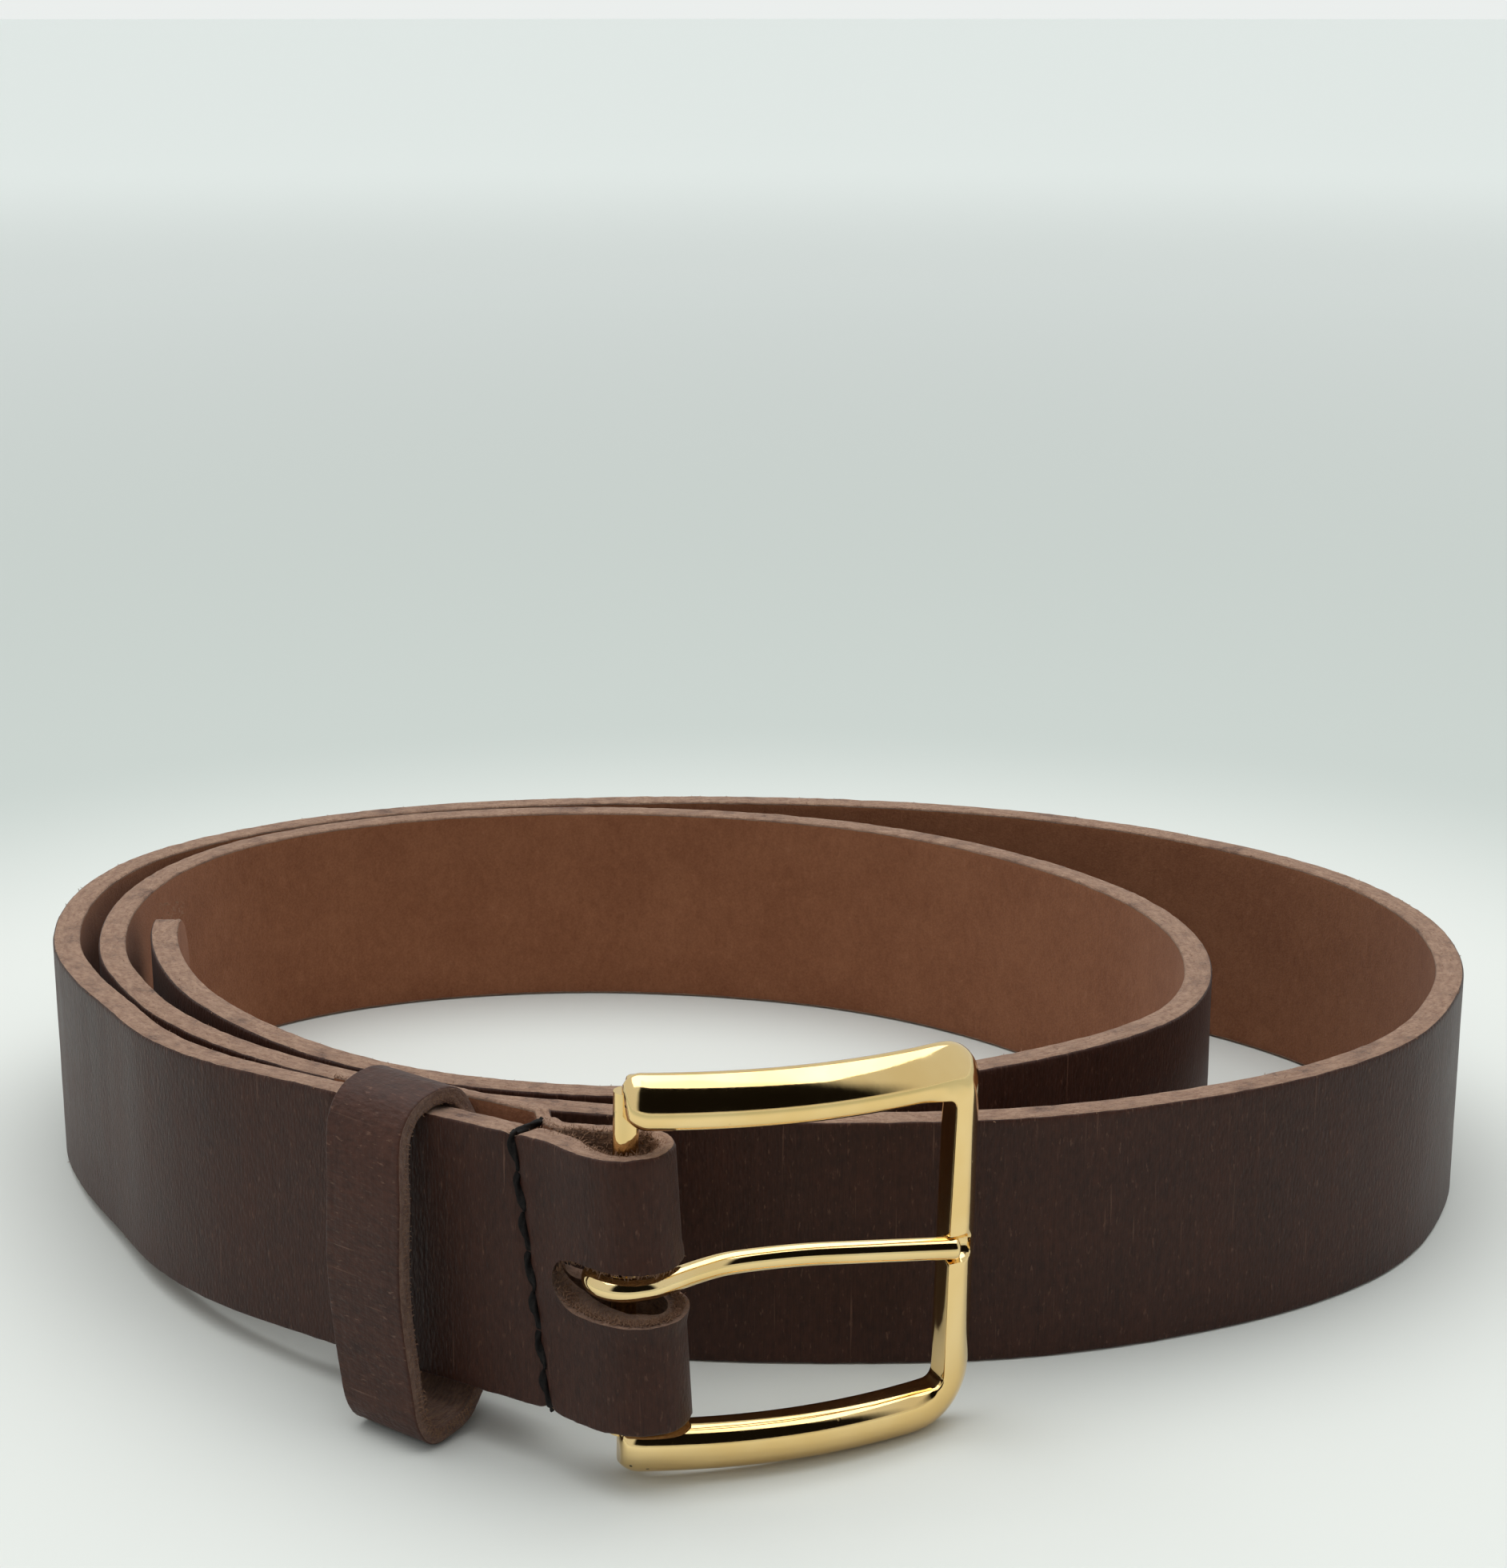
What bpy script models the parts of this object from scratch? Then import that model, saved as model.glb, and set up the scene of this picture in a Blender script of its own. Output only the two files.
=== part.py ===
"""Leather belt, coiled and standing on its edge, with a gold centre-bar buckle.

Metres, +Z up.  X runs along the coil's longest side and Y across it.  The
origin is under the middle of the coil, on the plane that the belt stands on.
"""
import math

import bmesh
import bpy
from mathutils import Matrix, Vector

MM = 0.001

# ---- driving dimensions, in millimetres ---------------------------------
BELT_WIDTH = 35.0
LEATHER = 4.2            # full strap thickness
EDGE_ROUND = 0.45        # small chamfer on every long edge of the strap
TIP_RADIUS = 12.0        # rounded corners of the free end
SEAM_GAP = 0.35          # clearance where two layers are sewn together
CENTRING = Vector((0.0, 1.14, 0.0))  # brings the origin under the coil's middle

LEAN = Vector((0.0, 0.09))   # the buckle end leans back: plan shift per mm of height
MID_Z = 26.0             # height at which the plan route is true
LIFT = 8.7               # height of the strap's lower edge at the buckle
BUCKLE_END = 240.0       # this much of the strap, from its sewn end, is lifted and leans

SEAM = Vector((-26.3, -89.3))        # buckle-side seam, on the grain face
SEAM_TURN = math.radians(-37.6)      # the sewn stretch runs in this direction
SEAM_SPACING = 33.0                  # between the two seams
SEAM_AT = -0.4                       # thread line, from the seam point
SEAM_SLANT = 2.8                     # the seams slope by this much at each edge

FOLD_SLANT = -0.055                  # the fold's round end slopes back by this per mm of height

BAR = Vector((-14.65, -93.2))        # the buckle's bar, in plan
BAR_LEAN = Vector((0.025, 0.009))    # plan shift of the bar per mm of height
BAR_Z = 27.2                         # middle height of the buckle
BAR_RADIUS = 1.6
BUCKLE_YAW = math.radians(22.0)
BUCKLE_HEIGHT = 52.2
BUCKLE_LEFT = -0.9                   # from the bar to the open end of the frame
BUCKLE_RIGHT = 46.8                  # from the bar to the outside of the front rail
RAIL_HEIGHT = 6.6
FRONT_RAIL = 5.45
FRAME_DEPTH = 4.6
FRAME_OUT = 2.3                      # from the bar to the middle of the frame's ends
FRAME_BOW = 4.2                      # the frame bulges towards the wearer's front
UPPER_CORNER = 6.3
LOWER_CORNER = 8.8
INNER_CORNER = 1.3

PRONG_RADIUS = 1.5
PRONG_LOOP = BAR_RADIUS + 0.35 + PRONG_RADIUS

SLOT_HEIGHT = 6.6
SLOT_END = -23.5                     # X of the slot's round end

KEEPER_WIDTH = 13.0
KEEPER_LEATHER = 2.2

THREAD = 0.55                        # radius of the waxed seam thread
THREAD_CLEAR = 0.35
STITCHES = 7

HOLE_DIAMETER = 5.0
HOLE_PITCH = 25.0
HOLE_COUNT = 5
FIRST_HOLE = 78.0                    # from the tip


# ---- scene, collections, materials --------------------------------------
for old in list(bpy.data.objects):
    bpy.data.objects.remove(old, do_unlink=True)

belt_col = bpy.data.collections.new("leather_belt")
cut_col = bpy.data.collections.new("cutters")
for col in (belt_col, cut_col):
    bpy.context.scene.collection.children.link(col)


def material(name, colour, roughness, metallic):
    mat = bpy.data.materials.new(name)
    mat.use_nodes = True
    shader = mat.node_tree.nodes["Principled BSDF"]
    shader.inputs["Base Color"].default_value = (*colour, 1.0)
    shader.inputs["Roughness"].default_value = roughness
    shader.inputs["Metallic"].default_value = metallic
    return mat


GRAIN = material("strap_leather", (0.055, 0.024, 0.016), 0.48, 0.0)
KEEPER_SKIN = material("keeper_leather", (0.062, 0.028, 0.019), 0.55, 0.0)
GOLD = material("polished_gold", (0.83, 0.60, 0.22), 0.12, 1.0)
GOLD_WIRE = material("polished_gold_wire", (0.83, 0.62, 0.27), 0.15, 1.0)
WAXED = material("black_waxed_thread", (0.012, 0.011, 0.011), 0.6, 0.0)
WAXED_FAR = material("black_waxed_thread_far", (0.012, 0.011, 0.011), 0.6, 0.0)
STEEL = material("brassed_wire", (0.55, 0.42, 0.2), 0.35, 1.0)


def add_object(name, mesh, col, mat=None):
    obj = bpy.data.objects.new(name, mesh)
    col.objects.link(obj)
    if mat is not None:
        mesh.materials.append(mat)
    if col is cut_col:
        obj.hide_render = True
        obj.display_type = "WIRE"
    return obj


def evaluated_copy(obj, name, col, mat=None):
    """A plain mesh of an object as its modifiers leave it; the source goes."""
    bpy.context.view_layer.update()
    graph = bpy.context.evaluated_depsgraph_get()
    mesh = bpy.data.meshes.new_from_object(obj.evaluated_get(graph))
    bm = bmesh.new()
    bm.from_mesh(mesh)
    bmesh.ops.remove_doubles(bm, verts=bm.verts, dist=0.00001)
    bmesh.ops.recalc_face_normals(bm, faces=bm.faces)
    bm.to_mesh(mesh)
    bm.free()
    mesh.materials.clear()
    new = add_object(name, mesh, col, mat)
    new.matrix_world = obj.matrix_world.copy()
    bpy.data.objects.remove(obj, do_unlink=True)
    return new


def shade(obj, degrees):
    obj.data.shade_smooth()
    obj.data.set_sharp_from_angle(angle=math.radians(degrees))


# ---- where things are ----------------------------------------------------
def belt_plan(s, w):
    """Plan point s mm from the buckle-side seam and w mm out from the grain."""
    along = Vector((math.cos(SEAM_TURN), math.sin(SEAM_TURN)))
    out = Vector((math.sin(SEAM_TURN), -math.cos(SEAM_TURN)))
    return SEAM + along * s + out * w


def rise(plan):
    """Height of the buckle end's lower edge: it climbs towards the buckle."""
    reach = min(max((plan.x + 110.0) / 98.0, 0.0), 1.0)
    return LIFT * reach ** 0.8


def lean_amount(plan):
    """How much of the lean there is: none at the coil's left end."""
    reach = min(max((plan.x + 100.0) / 45.0, 0.0), 1.0)
    return reach * reach * (3.0 - 2.0 * reach)


def fold_amount(plan):
    """How much of the fold's own slant there is: all of it round the bar."""
    reach = min(max((plan.x + 27.0) / 15.0, 0.0), 1.0)
    return reach * reach * (3.0 - 2.0 * reach)


def sewn(s, w, z):
    """A point in the sewn stretch of the strap, where the lean is complete."""
    p = belt_plan(s, w) + LEAN * (z - MID_Z)
    return Vector((p.x, p.y, z)) * MM


def catmull(points, i, t):
    """Centripetal Catmull-Rom point on the stretch from points[i] to the next."""
    p = [points[max(i - 1, 0)], points[i], points[i + 1],
         points[min(i + 2, len(points) - 1)]]
    if i == 0:
        p[0] = p[1] * 2.0 - p[2]
    if i + 2 > len(points) - 1:
        p[3] = p[2] * 2.0 - p[1]
    k = [0.0]
    for a, b in zip(p, p[1:]):
        k.append(k[-1] + max((b - a).length, 1e-6) ** 0.5)
    u = k[1] + (k[2] - k[1]) * t

    def mix(a, b, ka, kb):
        return a * ((kb - u) / (kb - ka)) + b * ((u - ka) / (kb - ka))

    a1 = mix(p[0], p[1], k[0], k[1])
    a2 = mix(p[1], p[2], k[1], k[2])
    a3 = mix(p[2], p[3], k[2], k[3])
    b1 = mix(a1, a2, k[0], k[2])
    b2 = mix(a2, a3, k[1], k[3])
    return mix(b1, b2, k[1], k[2])


def smooth_route(points, step):
    """Even stations along the curve through the points, about step mm apart."""
    dense = []
    for i in range(len(points) - 1):
        for j in range(24):
            dense.append(catmull(points, i, j / 24.0))
    dense.append(points[-1].copy())
    run = [0.0]
    for a, b in zip(dense, dense[1:]):
        run.append(run[-1] + (b - a).length)
    count = max(int(round(run[-1] / step)), 1)
    stations = []
    j = 0
    for n in range(count + 1):
        want = run[-1] * n / count
        while j < len(run) - 2 and run[j + 1] < want:
            j += 1
        t = (want - run[j]) / max(run[j + 1] - run[j], 1e-9)
        stations.append(dense[j].lerp(dense[j + 1], min(max(t, 0.0), 1.0)))
    return stations


# The strap's grain face in plan, followed from the sewn-back end, round the bar
# and then clockwise round the coil to the tip.  Each entry is x, y, thickness.
def sewn_entry(s, w, thick):
    p = belt_plan(s, w)
    return (p.x, p.y, thick)


TAB_BACK = [
    sewn_entry(-39.0, -LEATHER - 1.9, 1.4),
    sewn_entry(-35.5, -LEATHER - 2.2, 1.8),
    sewn_entry(-33.2, -LEATHER - 2.6, 2.1),
    sewn_entry(-31.2, -LEATHER - 3.9, 2.2),
    sewn_entry(-29.2, -LEATHER - 5.4, 2.2),
    sewn_entry(-27.3, -LEATHER - 5.7, 2.2),
    sewn_entry(-20.0, -LEATHER - 5.7, 2.2),
    sewn_entry(-10.0, -LEATHER - 5.7, 2.2),
    sewn_entry(-5.4, -LEATHER - 5.6, 2.2),
    sewn_entry(-2.6, -LEATHER - 3.9, 2.2),
    sewn_entry(0.4, -LEATHER - SEAM_GAP - 2.25, 2.25),
]
FOLD = [
    (-19.4, -84.9, 2.4),
    (-16.0, -86.1, 2.4),
    (-12.6, -86.7, 2.4),
    (-9.4, -88.2, 2.3),
    (-7.5, -91.2, 2.2),
    (-7.3, -94.6, 2.2),
    (-8.7, -97.6, 2.3),
    (-11.4, -99.2, 2.4),
    (-14.5, -99.2, 2.4),
    (-17.6, -97.7, 2.7),
    (-20.8, -94.9, 3.3),
    (-23.6, -91.7, 4.0),
]
FRONT = [
    sewn_entry(0.0, 0.0, LEATHER),
    sewn_entry(-8.0, 0.0, LEATHER),
    sewn_entry(-16.0, 0.0, LEATHER),
    sewn_entry(-24.0, 0.0, LEATHER),
    sewn_entry(-33.0, 0.0, LEATHER),
    sewn_entry(-38.0, -0.1, LEATHER),
]
OUTER_TURN = [
    (-73.7, -51.7), (-84.2, -39.3), (-92.3, -25.2), (-101.7, -7.5),
    (-108.0, 8.8), (-111.2, 27.0), (-110.4, 44.3), (-105.6, 58.8),
    (-97.3, 70.0), (-85.9, 79.7), (-71.5, 87.9), (-53.7, 93.9),
    (-32.9, 97.3), (-7.0, 98.6), (18.0, 96.6), (36.0, 93.0),
    (54.0, 87.0), (74.7, 75.6), (93.6, 59.1), (104.9, 42.5),
    (110.6, 24.0), (111.2, 9.0), (109.3, -3.5), (105.3, -15.0),
    (99.4, -26.6), (93.0, -35.0), (85.0, -42.2), (75.0, -48.8),
    (62.5, -54.8), (48.5, -59.8), (33.0, -63.0), (14.0, -64.0),
    (-7.2, -63.0), (-24.0, -59.8),
]
INNER_TURN = [
    (-37.0, -56.6), (-51.3, -50.7), (-66.5, -41.2), (-78.0, -31.4),
    (-87.4, -20.2), (-94.4, -8.0), (-99.3, 3.0), (-102.4, 16.0),
    (-103.5, 29.0), (-102.4, 42.0), (-98.6, 55.0), (-91.3, 67.1),
    (-80.2, 77.0), (-65.8, 84.5), (-49.3, 89.3), (-29.2, 91.3),
    (-6.0, 89.0), (16.0, 82.6), (32.0, 74.0), (46.0, 62.6),
    (57.6, 49.2), (66.0, 35.2), (70.6, 21.0), (72.0, 6.5),
    (69.8, -9.0), (64.4, -21.2), (56.2, -30.2), (45.2, -38.0),
    (32.0, -44.8), (15.0, -51.0),
]
TAIL = [
    (-4.0, -54.3), (-20.0, -54.2), (-34.0, -51.7), (-45.4, -47.9),
    (-56.6, -41.6), (-66.4, -33.6), (-76.0, -23.2), (-84.2, -11.4),
    (-90.4, 2.2), (-94.3, 16.0), (-96.2, 33.5),
]

ROUTE = TAB_BACK + FOLD + FRONT
ROUTE = ROUTE + [(x, y, LEATHER) for x, y in OUTER_TURN + INNER_TURN + TAIL]


def stretch(first, last, step):
    """Stations between two route entries, each (plan point, thickness)."""
    points = [Vector((e[0], e[1], e[2])) for e in ROUTE]
    lo = max(first - 2, 0)
    hi = min(last + 2, len(points) - 1)
    found = []
    for i in range(first, last):
        a = points[i]
        b = points[i + 1]
        n = max(int(math.ceil((b - a).length / step)), 1)
        for j in range(n):
            q = catmull(points[lo:hi + 1], i - lo, j / n)
            found.append(q)
    return found


FOLD_START = len(TAB_BACK) - 1
FOLD_END = len(TAB_BACK) + len(FOLD)
COIL_START = len(TAB_BACK) + len(FOLD) + len(FRONT) - 1
TIP = len(ROUTE) - 1

STATIONS = stretch(0, FOLD_START, 3.4)
STATIONS += stretch(FOLD_START, FOLD_END, 1.5)
STATIONS += stretch(FOLD_END, COIL_START, 8.5)
STATIONS += stretch(COIL_START, TIP - 1, 9.5)
STATIONS += stretch(TIP - 1, TIP, 1.6)
STATIONS.append(Vector(ROUTE[-1]))


# ---- the strap -----------------------------------------------------------
def tip_inset(left):
    """How far the edges draw in at a distance left mm from the tip."""
    if left >= TIP_RADIUS:
        return 0.0
    d = TIP_RADIUS - left
    return TIP_RADIUS - math.sqrt(max(TIP_RADIUS ** 2 - d * d, 0.0))


def make_strap():
    run = [0.0]
    for a, b in zip(STATIONS, STATIONS[1:]):
        run.append(run[-1] + (b.xy - a.xy).length)
    bm = bmesh.new()
    skive = bm.verts.layers.deform.verify()
    low = []
    for st in STATIONS:
        low.append(bm.verts.new((st.x * MM, st.y * MM, 0.0)))
    edges = [bm.edges.new(pair) for pair in zip(low, low[1:])]
    grown = bmesh.ops.extrude_edge_only(bm, edges=edges)
    tops = {}
    for v in grown["geom"]:
        if isinstance(v, bmesh.types.BMVert):
            tops[(round(v.co.x, 7), round(v.co.y, 7))] = v
    high = [tops[(round(v.co.x, 7), round(v.co.y, 7))] for v in low]
    for st, lo, hi, r in zip(STATIONS, low, high, run):
        inset = tip_inset(run[-1] - r)
        base = 0.0
        lean = Vector((0.0, 0.0))
        if r < BUCKLE_END:
            base = rise(st.xy)
            lean = LEAN * lean_amount(st.xy)
            lean.x += FOLD_SLANT * fold_amount(st.xy)
        if r < 60.0:
            # the folded-back end follows the front layer's height and lean
            s = (st.xy - SEAM).dot(belt_plan(1.0, 0.0) - SEAM)
            base = rise(belt_plan(min(s, 12.0), 0.0))
        for v, z in ((lo, base + inset), (hi, base + BELT_WIDTH - inset)):
            p = st.xy + lean * (z - MID_Z)
            v.co = Vector((p.x, p.y, z)) * MM
            v[skive][0] = min(st.z / LEATHER, 1.0)
    bmesh.ops.recalc_face_normals(bm, faces=bm.faces)
    bm.faces.ensure_lookup_table()
    probe = max(bm.faces, key=lambda face: face.calc_center_median().x)
    if probe.normal.x < 0.0:
        bmesh.ops.reverse_faces(bm, faces=bm.faces)
    mesh = bpy.data.meshes.new("strap_shell")
    bm.to_mesh(mesh)
    bm.free()
    obj = add_object("strap_shell", mesh, belt_col)
    obj.vertex_groups.new(name="skive")
    solid = obj.modifiers.new("thickness", "SOLIDIFY")
    solid.thickness = LEATHER * MM
    solid.offset = -1.0
    solid.vertex_group = "skive"
    solid.use_even_offset = True
    bevel = obj.modifiers.new("edges", "BEVEL")
    bevel.width = EDGE_ROUND * MM
    bevel.segments = 1
    bevel.limit_method = "ANGLE"
    bevel.angle_limit = math.radians(60.0)
    return evaluated_copy(obj, "strap", belt_col, GRAIN), run[-1]


# ---- rods and stitched seams ---------------------------------------------
def rod(name, a, b, radius, extra=0.0, sides=8, spin=0.0):
    """A round rod between two points, made longer at each end by extra."""
    d = (b - a).normalized()
    a = a - d * extra
    b = b + d * extra
    bm = bmesh.new()
    bmesh.ops.create_cone(bm, cap_ends=True, segments=sides, radius1=radius,
                          radius2=radius, depth=(b - a).length)
    mesh = bpy.data.meshes.new(name)
    turn = d.to_track_quat("Z", "Y").to_matrix().to_4x4()
    spin_by = Matrix.Rotation(math.radians(spin), 4, "Z")
    bm.transform(Matrix.Translation((a + b) / 2.0) @ turn @ spin_by)
    bm.to_mesh(mesh)
    bm.free()
    return add_object(name, mesh, cut_col)


def join_rods(rods, name, col, mat=None):
    """One closed body from rods that run into each other."""
    base = rods[0]
    for other in rods[1:]:
        union = base.modifiers.new("union", "BOOLEAN")
        union.operation = "UNION"
        union.solver = "EXACT"
        union.object = other
    whole = evaluated_copy(base, name, col, mat)
    for other in rods[1:]:
        bpy.data.objects.remove(other, do_unlink=True)
    return whole


def seam_ladder(name, s, front_w, back_w, grow, col, mat=None):
    """The thread of one seam: a run on each face, both edges, and the holes."""
    base = rise(belt_plan(s, 0.0))
    z0 = base + 0.35
    z1 = base + BELT_WIDTH - 0.35
    radius = (THREAD + grow) * MM

    def at(z, w):
        slant = SEAM_SLANT * (1.0 - 2.0 * (z - z0) / (z1 - z0))
        return sewn(s + slant, w, z)

    corners = [at(z0, front_w), at(z1, front_w), at(z1, back_w), at(z0, back_w)]
    rods = []
    for i in range(4):
        # the runs over the edges are a touch thinner than those on the faces
        thick = radius if i % 2 == 0 else radius * 0.93
        rods.append(rod(name + "_side", corners[i], corners[(i + 1) % 4],
                        thick, radius * (0.8 if i % 2 == 0 else 0.45),
                        8, 4.0 * i))
    for k in range(1, STITCHES):
        z = z0 + (z1 - z0) * k / STITCHES
        rods.append(rod(name + "_pass", at(z, front_w), at(z, back_w),
                        (THREAD * 0.8 + grow) * MM, 0.0, 7, 9.0))
    return join_rods(rods, name, col, mat)


def cut(target, cutter):
    cutting = target.modifiers.new("cut_" + cutter.name, "BOOLEAN")
    cutting.operation = "DIFFERENCE"
    cutting.solver = "EXACT"
    cutting.object = cutter


# ---- openings in the strap ------------------------------------------------
def slot_cutter():
    """The prong's oblong hole, through both layers of the fold."""
    half = SLOT_HEIGHT / 2.0
    mid = rise(BAR) + BELT_WIDTH / 2.0
    curve = bpy.data.curves.new("slot", "CURVE")
    curve.dimensions = "2D"
    curve.fill_mode = "BOTH"
    curve.extrude = 16.0 * MM
    outline = []
    for k in range(13):
        turn = math.radians(90.0 + 180.0 * k / 12)
        outline.append((SLOT_END + half + half * math.cos(turn), half * math.sin(turn)))
    outline.append((6.0, -half))
    outline.append((6.0, half))
    spline = curve.splines.new("POLY")
    spline.points.add(len(outline) - 1)
    for point, (x, z) in zip(spline.points, outline):
        point.co = (x * MM, z * MM, 0.0, 1.0)
    spline.use_cyclic_u = True
    obj = bpy.data.objects.new("slot_curve", curve)
    cut_col.objects.link(obj)
    obj.matrix_world = (Matrix.Translation((0.0, -91.5 * MM, mid * MM))
                        @ Matrix.Rotation(math.radians(90.0), 4, "X"))
    return evaluated_copy(obj, "slot_cutter", cut_col)


def belt_hole_cutters(length):
    """Five round holes along the free end, in a straight row."""
    run = 0.0
    marks = [length - FIRST_HOLE - HOLE_PITCH * k for k in range(HOLE_COUNT)]
    cutters = []
    for a, b in zip(STATIONS, STATIONS[1:]):
        seg = (b.xy - a.xy).length
        for mark in marks:
            if run <= mark < run + seg:
                p = a.xy.lerp(b.xy, (mark - run) / seg)
                ahead = (b.xy - a.xy).normalized()
                inward = Vector((ahead.y, -ahead.x))
                outer = p - inward * 0.16
                inner = p + inward * (LEATHER + 1.2)
                z = BELT_WIDTH / 2.0
                cutters.append(rod("belt_hole_cutter_%d" % (len(cutters) + 1),
                                   Vector((outer.x, outer.y, z)) * MM,
                                   Vector((inner.x, inner.y, z)) * MM,
                                   HOLE_DIAMETER / 2.0 * MM, 0.0, 20))
        run += seg
    return cutters


# ---- the buckle ------------------------------------------------------------
def buckle_place():
    """Buckle frame to world: u along the rails, w out, and z up the bar."""
    up = Vector((BAR_LEAN.x, BAR_LEAN.y, 1.0)).normalized()
    along = Vector((math.cos(BUCKLE_YAW), math.sin(BUCKLE_YAW), 0.0))
    along = (along - up * along.dot(up)).normalized()
    out = along.cross(up)
    turn = Matrix((along, -out, up)).transposed().to_4x4()
    lean = BAR_LEAN * (BAR_Z - MID_Z)
    spot = Vector((BAR.x + lean.x, BAR.y + lean.y, BAR_Z)) * MM
    return Matrix.Translation(spot) @ turn


def bowed(u):
    """How far the middle of the frame stands out from the bar at u."""
    half = (BUCKLE_RIGHT - BUCKLE_LEFT) / 2.0
    mid = BUCKLE_LEFT + half
    return FRAME_OUT + FRAME_BOW * (1.0 - ((u - mid) / half) ** 2)


def half_frame(corner):
    """Pairs of points (outside, inside) from the open end to the front rail's middle."""
    half = BUCKLE_HEIGHT / 2.0
    rail = half - RAIL_HEIGHT
    turn_u = BUCKLE_RIGHT - corner
    turn_z = half - corner
    in_u = BUCKLE_RIGHT - FRONT_RAIL - INNER_CORNER
    in_z = rail - INNER_CORNER
    pairs = []
    for k in range(10):
        t = k / 9.0
        pairs.append(((BUCKLE_LEFT + (turn_u - BUCKLE_LEFT) * t, half),
                      (BUCKLE_LEFT + (in_u - BUCKLE_LEFT) * t, rail)))
    for k in range(1, 7):
        turn = math.radians(90.0 - 90.0 * k / 6)
        pairs.append(((turn_u + corner * math.cos(turn), turn_z + corner * math.sin(turn)),
                      (in_u + INNER_CORNER * math.cos(turn),
                       in_z + INNER_CORNER * math.sin(turn))))
    for k in range(1, 4):
        t = 1.0 - k / 4.0
        pairs.append(((BUCKLE_RIGHT, turn_z * t), (BUCKLE_RIGHT - FRONT_RAIL, in_z * t)))
    return pairs


def frame_stations():
    """Pairs of points along the C from the upper open end to the lower one."""
    upper = half_frame(UPPER_CORNER)
    lower = [((a[0], -a[1]), (b[0], -b[1])) for a, b in half_frame(LOWER_CORNER)]
    middle = [((BUCKLE_RIGHT, 0.0), (BUCKLE_RIGHT - FRONT_RAIL, 0.0))]
    return upper + middle + list(reversed(lower))


def rail_section(half_width, half_depth):
    """One cross-section: flat behind, with broad soft shoulders in front."""
    front = 1.5
    back = 0.7
    points = [(-half_width, half_depth - front), (-half_width + 0.45, half_depth - 0.45),
              (-half_width + front, half_depth), (half_width - front, half_depth),
              (half_width - 0.45, half_depth - 0.45), (half_width, half_depth - front),
              (half_width, -half_depth + back), (half_width - back, -half_depth),
              (-half_width + back, -half_depth), (-half_width, -half_depth + back)]
    return points


def make_frame_rails():
    bm = bmesh.new()
    rings = []
    pairs = frame_stations()
    last = len(pairs) - 1
    for i, (outside, inside) in enumerate(pairs):
        out = Vector(outside)
        mid = (out + Vector(inside)) / 2.0
        half = (out - mid).length
        across = (out - mid).normalized()
        shrink = 1.0
        for step, scale, inward in ((0, 0.66, 0.0), (1, 0.9, 0.7), (2, 1.0, 2.0)):
            if i in (step, last - step):
                shrink = scale
                mid.x = BUCKLE_LEFT + inward
        ring = []
        for across_by, depth in rail_section(half, FRAME_DEPTH / 2.0):
            p = mid + across * across_by * shrink
            w = bowed(p.x) + depth * shrink
            ring.append(bm.verts.new((p.x * MM, -w * MM, p.y * MM)))
        rings.append(ring)
    for a, b in zip(rings, rings[1:]):
        for j in range(len(a)):
            k = (j + 1) % len(a)
            bm.faces.new((a[j], a[k], b[k], b[j]))
    bm.faces.new(rings[0])
    bm.faces.new(list(reversed(rings[-1])))
    bmesh.ops.recalc_face_normals(bm, faces=bm.faces)
    mesh = bpy.data.meshes.new("frame_rails")
    bm.to_mesh(mesh)
    bm.free()
    return add_object("frame_rails", mesh, belt_col)


def make_buckle_frame():
    half = BUCKLE_HEIGHT / 2.0
    plate = make_frame_rails()
    bar = rod("bar", Vector((0, 0, -half + 2.6)) * MM, Vector((0, 0, half - 2.6)) * MM,
              BAR_RADIUS * MM, 0.0, 16)
    lugs = []
    for side in (-1.0, 1.0):
        bm = bmesh.new()
        bmesh.ops.create_cube(bm, size=1.0)
        size = Vector((3.3, 5.0, RAIL_HEIGHT - 1.8)) * MM
        spot = Vector((1.33, -0.75, side * (half - RAIL_HEIGHT / 2.0))) * MM
        bm.transform(Matrix.Translation(spot) @ Matrix.Diagonal((*size, 1.0)))
        mesh = bpy.data.meshes.new("lug")
        bm.to_mesh(mesh)
        bm.free()
        lug = add_object("lug", mesh, cut_col)
        round_off = lug.modifiers.new("rounding", "BEVEL")
        round_off.width = 0.9 * MM
        round_off.segments = 2
        lugs.append(evaluated_copy(lug, "lug_round", cut_col))
    for part in lugs + [bar]:
        union = plate.modifiers.new("union", "BOOLEAN")
        union.operation = "UNION"
        union.solver = "EXACT"
        union.object = part
    notch = rod("prong_rest_cutter",
                Vector((REST_START[0], -REST_START[1], -PRONG_DROP)) * MM,
                Vector((REST_END[0], -REST_END[1], -PRONG_DROP)) * MM,
                (PRONG_RADIUS + 0.35) * MM, 0.0, 16)
    cut(plate, notch)
    frame = evaluated_copy(plate, "buckle_frame", belt_col, GOLD)
    for part in [bar] + lugs + [notch]:
        bpy.data.objects.remove(part, do_unlink=True)
    shade(frame, 35.0)
    return frame


# how far the prong's middle stands out from the bar, at u along the buckle
PRONG_DROP = 0.7                     # the prong lies this far below the buckle's middle
REST_START = (37.6, 4.25)
REST_END = (45.1, 6.0)
PRONG_SHANK = [(1.9, 4.2), (5.0, 3.1), (8.8, 1.7), (12.7, 0.65), (16.2, 0.5),
               (23.3, 1.1), (30.0, 2.5), (34.5, 3.53), (38.0, 4.34), (40.4, 4.9),
               (42.4, 5.37)]


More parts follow.
